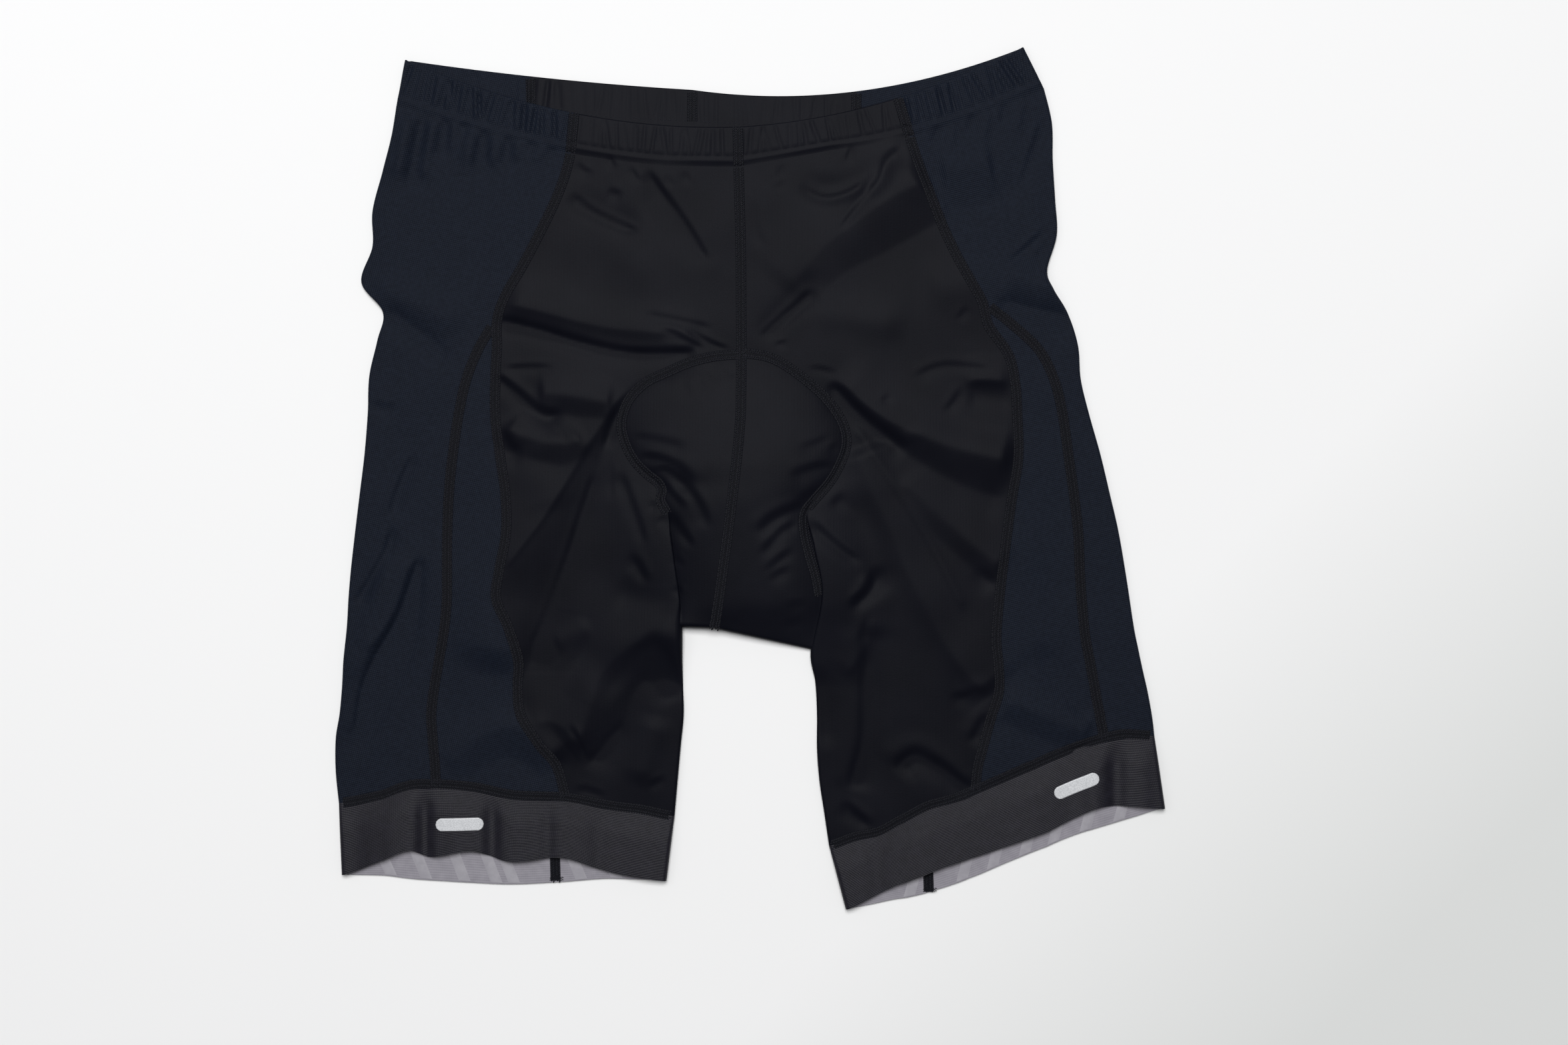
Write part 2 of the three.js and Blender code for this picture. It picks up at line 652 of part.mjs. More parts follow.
// Leg gripper: a flattened tube on the same columns as the panels above it, so that the seam
// between them stays clear.
function legGripper(side) {
  const half = HALF[side];
  const outer = foldOf(side, LAST, 0);
  const inner = foldOf(side, LAST, 1);
  const seam = shareOf(side, LAST, "seamX");
  const insert = shareOf(side, LAST, "insertX");
  const backSeam = shareOfX(side, LAST, half.backSeam.hem);
  const inseam = shareOfX(side, LAST, half.inseamAtHem);
  const front = [
    ...shares(inner.share, seam, CELLS.front).slice(1),
    ...shares(seam, insert, CELLS.insert).slice(1),
    ...shares(insert, outer.share, CELLS.side).slice(1, -1),
  ];
  const back = [
    ...shares(outer.share, backSeam, CELLS.sideUnder).slice(1),
    ...shares(backSeam, inseam, CELLS.back).slice(1),
    ...shares(inseam, inner.share, CELLS.wrapUnder).slice(1, -1),
  ];
  // A point t of the way from the seam to the front or back hem edge, which column names.
  const at = (t, share, column) => {
    const [x, y] = place(side, LAST, share);
    const hemX = mix(half.hemOuterX, half.hemInnerX, share);
    const hemY = lookUp(hems[side], "share", column, share);
    return [mix(x, hemX, t), mix(y - SEAM_GAP / 2, hemY, t)];
  };
  const onTop = (t, share) => {
    const [x, y] = at(t, share, "frontY");
    const top = frontHeight(...place(side, LAST, share)) + GRIPPER_EDGE * t;
    return station(x, y, top, Math.min(top - CLOTH, INSIDE_TOP));
  };
  const turn = (t, end, outwards) => {
    const [startX] = at(t, 0, "frontY");
    const [endX] = at(t, 1, "frontY");
    const column = (up) => (up < 0 ? "backY" : "frontY");
    const yAt = (x, up) => at(t, (x - startX) / (endX - startX), column(up))[1];
    const { top } = end === 0 ? outer : inner;
    return roundFold(at(t, end, "frontY")[0], outwards, top, CLOTH, yAt);
  };
  const rows = shares(0, 1, GRIPPER_ROWS).map((t) => [
    ...front.map((share) => onTop(t, share)),
    ...turn(t, 0, half.outwards),
    ...back.map((share) => onBack(...at(t, share, "backY"))),
    ...turn(t, 1, -half.outwards).reverse(),
  ]);
  return new Cloth().grid(rows, true).geometry();
}

// Finishes
const FINISH = {
  black_knit: { color: 0x17181b, roughness: 0.72, metalness: 0 },
  navy_mesh: { color: 0x161d28, roughness: 0.8, metalness: 0 },
  gripper_elastic: { color: 0x343235, roughness: 0.55, metalness: 0 },
};
const PIECES = [
  { name: "front_panel", make: frontPanel, finish: "black_knit" },
  { name: "side_panel", make: sidePanel, finish: "navy_mesh" },
  { name: "thigh_insert", make: thighInsert, finish: "navy_mesh" },
  { name: "back_panel", make: backPanel, finish: "black_knit" },
  { name: "waistband_front", make: waistbandFront, finish: "black_knit" },
  { name: "waistband_side", make: waistbandSide, finish: "navy_mesh" },
  { name: "waistband_back", make: waistbandBack, finish: "black_knit" },
  { name: "leg_gripper", make: legGripper, finish: "gripper_elastic" },
];

const shorts = new THREE.Group();
for (const { name, make, finish } of PIECES) {
  for (const side of ["left", "right"]) {
    const mesh = new THREE.Mesh(make(side), new THREE.MeshStandardMaterial(FINISH[finish]));
    mesh.name = `${name}_${side}`;
    shorts.add(mesh);
  }
}

export default shorts;
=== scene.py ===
# %% [markdown]
# # Cycling shorts laid flat, front side up
# The real shorts are two layers of thin knit on a table, drawn in by an elastic waist and ended
# by two elastic leg bands. This lesson makes each cut piece as a thin sheet with a real wall. The
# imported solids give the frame: same origin, same axes, +Y towards the waist and +Z up. Sizes are
# written in millimetres, and only the mesh maker turns them into metres.

# %% Load the frame
import json
import math

import bpy
import numpy as np
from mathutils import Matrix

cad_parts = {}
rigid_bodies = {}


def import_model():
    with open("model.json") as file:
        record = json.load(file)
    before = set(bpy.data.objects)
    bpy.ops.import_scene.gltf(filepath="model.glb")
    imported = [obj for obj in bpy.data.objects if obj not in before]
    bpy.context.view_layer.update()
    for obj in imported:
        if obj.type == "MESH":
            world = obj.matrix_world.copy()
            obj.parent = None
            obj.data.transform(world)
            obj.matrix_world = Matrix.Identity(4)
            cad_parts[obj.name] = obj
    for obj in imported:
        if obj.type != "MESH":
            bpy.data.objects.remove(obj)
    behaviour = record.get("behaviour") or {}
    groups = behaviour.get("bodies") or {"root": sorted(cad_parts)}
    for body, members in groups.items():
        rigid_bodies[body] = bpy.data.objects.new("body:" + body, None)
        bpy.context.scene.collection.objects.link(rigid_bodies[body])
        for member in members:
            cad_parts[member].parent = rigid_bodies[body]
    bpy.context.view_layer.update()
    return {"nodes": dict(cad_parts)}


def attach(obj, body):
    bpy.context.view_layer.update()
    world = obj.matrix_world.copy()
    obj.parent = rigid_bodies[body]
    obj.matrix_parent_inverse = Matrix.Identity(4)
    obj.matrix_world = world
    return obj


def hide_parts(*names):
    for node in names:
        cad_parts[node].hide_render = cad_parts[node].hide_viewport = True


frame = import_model()


MM = 0.001
print("solids in the frame:", len(frame["nodes"]))

# %% [markdown]
# ## Camera
# The photograph was taken from straight above, a little to the right of the shorts' middle and
# below it. A camera 1.36 m up with a 50 mm lens sees 979 mm across at the cloth, as the photograph
# does. It could stand farther away with a longer lens, but then the folded edges would show less.

# %% Place the camera
CAMERA_PLACE = (21.4, -27.7, 1364)
LENS_LENGTH = 50
SENSOR_WIDTH = 36
camera_lens = bpy.data.cameras.new("camera")
camera_lens.lens = LENS_LENGTH
camera_lens.sensor_width = SENSOR_WIDTH
camera = bpy.data.objects.new("camera", camera_lens)
camera.location = [n * MM for n in CAMERA_PLACE]
bpy.context.collection.objects.link(camera)
bpy.context.scene.camera = camera
print("camera height in m:", round(camera.location.z, 3))

# %% [markdown]
# ## Floor and light
# Around the shorts the paper is nearly white. It is lit to the very edge of the waistband, while a
# thin soft shadow lies under the hems and beside the legs, so the large soft light hangs on the
# waist's side. A pale world fills the rest, because the black cloth shows hardly any hard shine.

# %% Lay the floor
FLOOR_SIZE = 3000
FLOOR_DROP = 0.2


def link(name, mesh):
    """A new object with this mesh, in the scene."""
    made = bpy.data.objects.new(name, mesh)
    bpy.context.collection.objects.link(made)
    return made


half_floor = FLOOR_SIZE / 2 * MM
floor_mesh = bpy.data.meshes.new("floor")
floor_corners = [(-1, -1), (1, -1), (1, 1), (-1, 1)]
floor_mesh.from_pydata(
    [(x * half_floor, y * half_floor, -FLOOR_DROP * MM) for x, y in floor_corners], [], [(0, 1, 2, 3)]
)
floor = link("floor", floor_mesh)
print("floor's side in m:", FLOOR_SIZE * MM)

# %% Hang the lights
KEY_LIGHT = {"place": (-60, 1250, 3400), "size": 2000, "power": 124}
SIDE_LIGHT = {"place": (-1300, 500, 1500), "size": 900, "power": 3}
WORLD_COLOUR = (0.97, 0.98, 1.0, 1)
WORLD_BRIGHTNESS = 0.19


def soft_light(name, place, size, power):
    """A square light in mm and watts that looks at the middle of the shorts."""
    lamp = bpy.data.lights.new(name, "AREA")
    lamp.size = size * MM
    lamp.energy = power
    made = bpy.data.objects.new(name, lamp)
    made.location = [n * MM for n in place]
    made.rotation_euler = (-made.location).to_track_quat("-Z", "Y").to_euler()
    bpy.context.collection.objects.link(made)


soft_light("key_light", **KEY_LIGHT)
soft_light("side_light", **SIDE_LIGHT)
world = bpy.data.worlds.new("pale_room")
world.use_nodes = True
background = world.node_tree.nodes["Background"]
background.inputs["Color"].default_value = WORLD_COLOUR
background.inputs["Strength"].default_value = WORLD_BRIGHTNESS
bpy.context.scene.world = world
print("lights hung: 2")

# %% [markdown]
# ## Measured lines
# Every seam and every edge of the shorts was read from the photograph on 22 lines that cross a
# half of the shorts, from the foot of the waistband down to the leg band. The solids use the same
# lines. A drawing of outlines could be cut out of a plane instead, but lines across give the
# cloth its weave direction and let a seam sit exactly where two pieces meet.

# %% Lines across each half
OUTWARDS = {"left": -1, "right": 1}
LAST = 21
CROTCH = 15
JUNCTION = 6
LINES = {
    "left": {
        "outer_x": [-221, -224, -229.6, -236, -236, -243, -229.6, -233, -238, -239, -241, -244, -247,
                    -249.5, -251, -252, -254, -255, -256.5, -259, -259, -257],
        "outer_y": [233, 214, 192, 167, 145, 122.5, 104, 86, 64, 40, 15, -10, -35, -57, -75, -93, -113,
                    -130, -147, -163, -183, -203],
        "insert_x": [-112, -116, -123, -132.5, -142.5, -153, -159.3, -169, -177, -182, -185.5, -188,
                     -189, -189, -189, -190.5, -194, -197, -199, -198, -197, -196],
        "seam_x": [-112, -116, -123, -132.5, -142.5, -153, -158, -158, -159, -159, -156, -152.5, -152,
                   -156, -158, -150.5, -144.5, -145, -143, -132.5, -121.5, -115],
        "fold_x": [-52, -52, -52, -52, -52, -52, -52, -52, -52, -52, -52, -52, -49, -46, -43.5, -42,
                   -42, -41.7, -41.3, -43, -45, -47],
        "fold_y": [195, 179.5, 161.5, 143, 124.5, 107, 91.5, 76.5, 57, 36.5, 13, -10.5, -35, -57, -75,
                   -93, -114, -131, -148, -166, -188, -211],
        "bow": [-6, -5, -4, -3, -3, -2, -1, -1, 0, 0, 0, 0, 0, 0, 0, 0, 0, 0, 0, 0, 4, 0],
    },
    "right": {
        "outer_x": [184, 189, 189.5, 191, 192, 186, 190, 199, 205.3, 207, 212, 219, 225, 230.5, 235.5,
                    240, 243, 246, 248.5, 250.5, 252, 253],
        "outer_y": [243.6, 222, 199, 174, 152, 130, 118, 103, 83, 62, 41, 16, -9, -33, -62, -92, -107,
                    -121, -132, -142.5, -152, -161],
        "insert_x": [100, 106, 113, 121, 129.5, 139, 147, 163, 181, 190.5, 195.5, 199, 202.5, 205.2,
                     206.5, 209, 211.7, 214.5, 216.7, 219, 220.3, 221],
        "seam_x": [100, 106, 113, 121, 129.5, 139, 145.5, 149.5, 161.5, 166, 167.2, 167.8, 163.8,
                   160.5, 156.8, 154, 155.3, 155.7, 150.8, 146.3, 142.5, 141],
        "fold_x": [52, 52, 52, 52, 52, 52, 52, 52, 52, 52, 51, 46, 36, 40, 45, 38, 41, 42, 42, 43.5,
                   46.5, 49.5],
        "fold_y": [205, 187, 168, 148, 129, 111, 97, 84, 66, 47, 28, 5, -20, -43, -73, -107.5, -128,
                   -148, -169, -189, -209, -229.5],
        "bow": [-6.5, -6, -5, -4, -3, -2, -2, -2, -1, 0, 0, 0, 0, 0, 0, 0, 0, 0, 0, 0, 0, 0],
    },
}
CENTRE_X = [-7, -6.5, -6, -5.6, -5.4, -5.3, -5.2, -5.2, -5.3, -5.8, -7.8, -10.4, -13.5, -16.5, -19, -22]
CENTRE_Y = [194.5, 178, 159, 141, 122, 105, 90, 75, 56, 36, 13, -10, -35, -57, -75, -94]
print("lines across each half:", len(LINES["left"]["bow"]))

# %% Lines of the leg bands and the waist
# share runs across the leg, from the outer fold (0) to the fold inside the leg (1).
HEM = {
    "left": {
        "share": [0, 0.13, 0.21, 0.27, 0.4, 0.52, 0.68, 0.81, 0.9, 1],
        "seam_y": [-203, -198, -192, -191, -193, -198, -199.5, -204.5, -207, -211],
        "front_y": [-248, -238.5, -232.5, -236.5, -233, -239.5, -237, -245, -249, -251.5],
        "back_y": [-248, -248.5, -250.5, -251.5, -253, -254, -252.5, -250.5, -251, -251.5],
        "outer_x": -255,
        "inner_x": -52,
    },
    "right": {
        "share": [0, 0.1, 0.2, 0.28, 0.37, 0.49, 0.61, 0.7, 0.79, 0.85, 0.92, 1],
        "seam_y": [-161, -160, -165, -171, -179, -189.5, -199.5, -205, -214.5, -221, -224, -229.5],
        "front_y": [-206.5, -205, -205.5, -212, -221, -229.5, -237.5, -243.5, -250.5, -255, -262, -269.4],
        "back_y": [-206.5, -212, -218, -223, -230.5, -240, -250, -256.5, -261.5, -263.5, -266.5, -269.4],
        "outer_x": 259.6,
        "inner_x": 60,
    },
}
BACK_SEAM = {"left": (-137, -172), "right": (66.6, 150)}
INSEAM_AT_HEM = {"left": -122, "right": 112}
INSEAM_START = 5
WAIST_CORNER = {"left": (-215.5, 261.5), "right": (171, 269.4)}
FRONT_TOP_CENTRE = (-7.5, 219.5)
BACK_TOP_CENTRE = (-36, 243)
FRONT_TOP_BOW = {"left": -12, "right": -10}
BACK_TOP_BOW = {"left": -2, "right": -14}
print("places read on the hems:", [len(hem["share"]) for hem in HEM.values()])

# %% Smooth curves through measured points


def mix(a, b, t):
    """From a to b, at t between 0 and 1."""
    return a + (b - a) * t


def ease(value, start, end):
    """0 before start, 1 after end, and a soft rise between them."""
    t = np.clip((value - start) / (end - start), 0, 1)
    return t * t * (3 - 2 * t)


def along(values, row):
    """A smooth curve through a list of values, read at a row number that may lie between rows."""
    values = np.asarray(values, float)
    last = len(values) - 1
    row = np.clip(row, 0, last)
    i = np.clip(np.floor(row).astype(int), 0, last - 1)
    t = row - i
    before = values[np.maximum(i - 1, 0)]
    start = values[i]
    end = values[i + 1]
    after = values[np.minimum(i + 2, last)]
    return (
        (2 * t**3 - 3 * t**2 + 1) * start
        + (t**3 - 2 * t**2 + t) * (end - before) / 2
        + (3 * t**2 - 2 * t**3) * end
        + (t**3 - t**2) * (after - start) / 2
    )


def between(keys, values, key):
    """A smooth curve of values over rising keys."""
    return along(values, np.interp(key, keys, np.arange(len(keys))))


def hem_line(side, column, share):
    """A line of the leg band, at a share across the leg."""
    return between(HEM[side]["share"], HEM[side][column], share)


def on_line(side, row, share):
    """x and y of a point on a line across a half. The last line follows the leg band's seam."""
    lines = LINES[side]
    x = mix(along(lines["outer_x"], row), along(lines["fold_x"], row), share)
    y = mix(along(lines["outer_y"], row), along(lines["fold_y"], row), share)
    y = y + along(lines["bow"], row) * 4 * share * (1 - share)
    last_y = mix(lines["outer_y"][-1], lines["fold_y"][-1], share)
    return x, y + (hem_line(side, "seam_y", share) - last_y) * ease(row, LAST - 2, LAST)


def share_of(side, row, x):
    """How far across the half an x lies."""
    outer_x = along(LINES[side]["outer_x"], row)
    return (x - outer_x) / (along(LINES[side]["fold_x"], row) - outer_x)


def seam_share(side, row, column):
    """Where a measured seam crosses a line."""
    return share_of(side, row, along(LINES[side][column], row))


print("middle of the left leg band's seam:", [round(float(n), 1) for n in on_line("left", 21.0, 0.5)])

# %% [markdown]
# ## Height of the front layer
# The front layer lies about 4 mm above the table. The seat pad inside lifts it in the middle, the
# legs' cloth lies over the pad's edge, and long soft folds run from the pad into the legs. Cloth
# simulation would give folds too, but other ones: these are placed where the photograph shows
# them, each with its own length, width and height, and no two alike.

# %% The seat pad under the cloth
# The pad's left and right outlines are y and x. Its rise is y, the rise in its middle and the rise
# at its edge, where the cloth of the leg lies over it.
CLOTH = 0.9
UNDER = 0.3
FRONT_TOP = 3.7
LOWEST_FRONT = 2.6
PAD_LEFT = [(-130, -42), (-93, -42), (-75, -43.5), (-57, -46), (-35, -49), (-25, -51), (-14, -55),
            (-3, -58), (8, -70), (18, -76), (28, -80), (38, -80), (50, -75), (60, -64.5), (66, -52),
            (72, -38), (76, -22), (79, -5)]
PAD_RIGHT = [(-130, 41), (-107.5, 38), (-90, 42), (-73, 45), (-43, 40), (-25, 36), (-14, 40),
             (-3, 49.5), (8, 56), (18, 60), (28, 60), (38, 56), (50, 47.5), (60, 37), (70, 23),
             (75.5, 12), (78, 0), (79, -4)]
PAD_RISE = [(-130, 0, 0), (-108, 2, 1.5), (-93, 5, 3), (-80, 7.8, 4.5), (-65, 8.8, 5), (-45, 9.4, 5),
            (-25, 9.8, 4), (-14, 10, 3), (-3, 9.5, 1.5), (8, 9, 0.5), (18, 8, 0), (28, 7, 0), (38, 6, 0),
            (50, 4.8, 0), (60, 3.4, 0), (70, 1.6, 0), (79, 0, 0)]
PAD_TOP_Y = 79
PAD_FOOT_Y = -130
CROWN_POWER = 2.5
CROWN_ROUNDING = 0.8
LIP_REACH = 30
LIP_SHARE = 0.62
OVERLAP_Y = -20


def column(table, i):
    """One column of a table of rows."""
    return [row[i] for row in table]


def pad_rise(x, y, part):
    """How far the pad lifts the cloth. part is 'leg' or 'middle' where the leg lies over the pad."""
    left_x = between(column(PAD_LEFT, 0), column(PAD_LEFT, 1), y)
    right_x = between(column(PAD_RIGHT, 0), column(PAD_RIGHT, 1), y)
    rise = between(column(PAD_RISE, 0), column(PAD_RISE, 1), y)
    lip = between(column(PAD_RISE, 0), column(PAD_RISE, 2), y)
    across = np.abs((2 * x - left_x - right_x) / np.maximum(right_x - left_x, 1))
    inside = across < 1
    if part == "leg":
        inside = inside & (y > OVERLAP_Y)
    else:
        inside = inside | (y < OVERLAP_Y)
    edge = lip * LIP_SHARE
    crown = np.clip(1 - np.clip(across, 0, 1) ** CROWN_POWER, 0, 1) ** CROWN_ROUNDING
    beyond = np.maximum(np.maximum(left_x - x, x - right_x), 0)
    height = np.where(inside, edge + (rise - edge) * crown, lip * np.exp(-((beyond / LIP_REACH) ** 2)))
    return np.where((y > PAD_TOP_Y) | (y < PAD_FOOT_Y), 0, height)


print("highest rise of the pad:", max(column(PAD_RISE, 1)))

# %% Large folds
# Each row: start x and y, end x and y, bow of the middle to the left of the walk, width, height.
# A ridge has a positive height and a trough a negative one.
FOLDS = [
    (-209, -58, -250, -173, 8, 8, -2.0),
    (-225, -45, -252, -125, 4, 9, 1.8),
    (-230, 106, -189, 73, 0, 7, -1.9),
    (-236, 123, -178, 96, 0, 10, 1.9),
    (-113, 177, -69, 155, 0, 8, -0.8),
    (-66, 185, -25, 135, -4, 8, -0.9),
    (34, 184, 88, 202, -10, 8, -1),
    (42, 128, 7, 87, 0, 7, -0.9),
    (-100, -92, -122, -104, 0, 6, 0.7),
    (-110, -108, -78, -128, 0, 14, -1.2),
    (-70, -190, -58, -150, 0, 9, 1.2),
    (44, -118, 48, -168, 0, 6, -0.9),
    (-84, -70, -48, -80, 0, 9, -1.6),
    (62, -8, 84, -70, 0, 10, -1.2),
    (136, 52, 164, 50, 0, 8, -1.0),
    (186, 226, 153, 168, 4, 8, -1.3),
    (155, 110, 203, 95, 0, 7, -1.2),
    (180, -107, 214, -151, 0, 7, -1.2),
    (-120, 150, -60, 128, 6, 14, 0.5),
    (110, 120, 175, 128, 0, 14, 1.2),
    (96, 96, 40, 104, 0, 10, 0.9),
    (-140, 20, -125, -20, 0, 14, 0.8),
]
FOLD_START = (-0.08, 0.2)
FOLD_END = (0.8, 1.08)


def fold_rise(x, y, folds):
    """Sum of the large folds at x and y."""
    rise = np.zeros(np.broadcast(x, y).shape)
    for x0, y0, x1, y1, bow, width, height in folds:
        length = math.hypot(x1 - x0, y1 - y0)
        ux = (x1 - x0) / length
        uy = (y1 - y0) / length
        t = ((x - x0) * ux + (y - y0) * uy) / length
        ends = ease(t, *FOLD_START) * (1 - ease(t, *FOLD_END))
        walked = np.clip(t, 0, 1)
        across = (y - y0) * ux - (x - x0) * uy - bow * 4 * walked * (1 - walked)
        rise += height * ends * np.exp(-((across / width) ** 2))
    return rise


print("large folds:", len(FOLDS))

# %% Leaning faces
# A fold of the photograph often shows as a dark face between two lines: the cloth falls from the
# first line, which is its crest, to the second one, where it turns up again. Each row: fall at the
# start and at the end in mm, how far the cloth beside it swings back, crest line and foot line.
FACES = [
    # the left leg: from the pad to the seam and down along it
    (1.4, 6.4, 26, [(-64, 70), (-78, 53), (-88, 42.5), (-100, 25), (-112, 5), (-124, -18), (-138, -38),
                    (-152, -58), (-160, -74), (-158, -96), (-151, -122)],
     [(-74, 54), (-83, 40), (-89, 24), (-94, 8), (-99, -8), (-106, -30), (-113, -50), (-120, -67),
      (-130, -96), (-136, -113), (-146, -134)]),
    # the right leg: the deep fold from the pad to the seam
    (2.0, 5.6, 16, [(48, 63), (60, 57), (72, 46), (88, 35), (105, 27), (125, 19), (145, 14), (166, 9)],
     [(47, 60), (56, 51), (68, 39), (85, 25), (103, 12), (120, 2), (138, -6), (152, -10.5), (166, -13)]),
    (0.8, 2.8, 12, [(91, 2), (105, -11), (120, -25), (135, -38), (150, -51), (159, -57)],
     [(89, -1), (99, -17), (112, -33), (126, -45), (141, -58), (156, -69)]),
    # beside the right part of the pad, and the fold on the front above it
    (5.6, 0.8, 22, [(118, 188), (92, 177), (68, 161), (44, 142), (22, 114)],
     [(127, 166), (104, 152), (82, 140), (57, 127), (32, 103)]),
    # the long fold over the left part of the pad
    (3.6, 2.0, 14, [(-161, 111), (-132, 104), (-107, 97.5), (-84, 93), (-60, 91), (-28, 86)],
     [(-160, 99), (-132, 92.5), (-108, 85), (-85, 79.5), (-64, 77.5), (-28, 78.5)]),
    (2.6, 1.6, 10, [(-136, 52), (-118, 51.5), (-100, 49), (-84, 46)],
     [(-130, 39), (-118, 39.8), (-104, 38), (-86, 37)]),
    (3.2, 2.0, 10, [(-157, 38), (-149, 29.5), (-139, 25), (-126, 22), (-112, 22), (-100, 27)],
     [(-160, 22), (-151, 15.5), (-140, 13), (-128, 10), (-116, 8), (-106, 12), (-98, 19)]),
    # the left leg, lower part
    (3.4, 5.0, 16, [(-112, -182), (-104, -158), (-98, -140), (-92, -122), (-72, -104), (-50, -100),
                    (-36, -108)],
     [(-104, -181), (-95, -173.5), (-86, -162), (-78, -152), (-74, -138), (-66, -126.5), (-54, -131),
      (-44, -137.5), (-34, -141)]),
    (1.2, 3.6, 10, [(-188, -181), (-177, -168), (-163, -159), (-149, -156), (-136, -161), (-125, -171)],
     [(-186, -192), (-173, -184), (-160, -177), (-149, -175), (-138, -180), (-127, -192)]),
    # the right hip
    (3.2, 2.2, 14, [(116, 190), (134, 193), (154, 196)],
     [(121, 170), (137, 170), (156, 174)]),
    (2.2, 4.8, 12, [(158, 128), (178, 121), (197, 118)],
     [(160, 110), (180, 101), (201, 99)]),
    # the right leg's wedge
    (2.8, 2.2, 10, [(155, -138), (175, -145), (195, -154), (214, -160)],
     [(153, -150), (175, -160), (195, -168), (212, -172)]),
]
FACE_REACH = 60
FACE_SMOOTH = 0.2
FACE_START = (0.0, 0.12)
FACE_END = (0.9, 1.0)
CREST_SHARE = 0.78
print("leaning faces:", len(FACES))

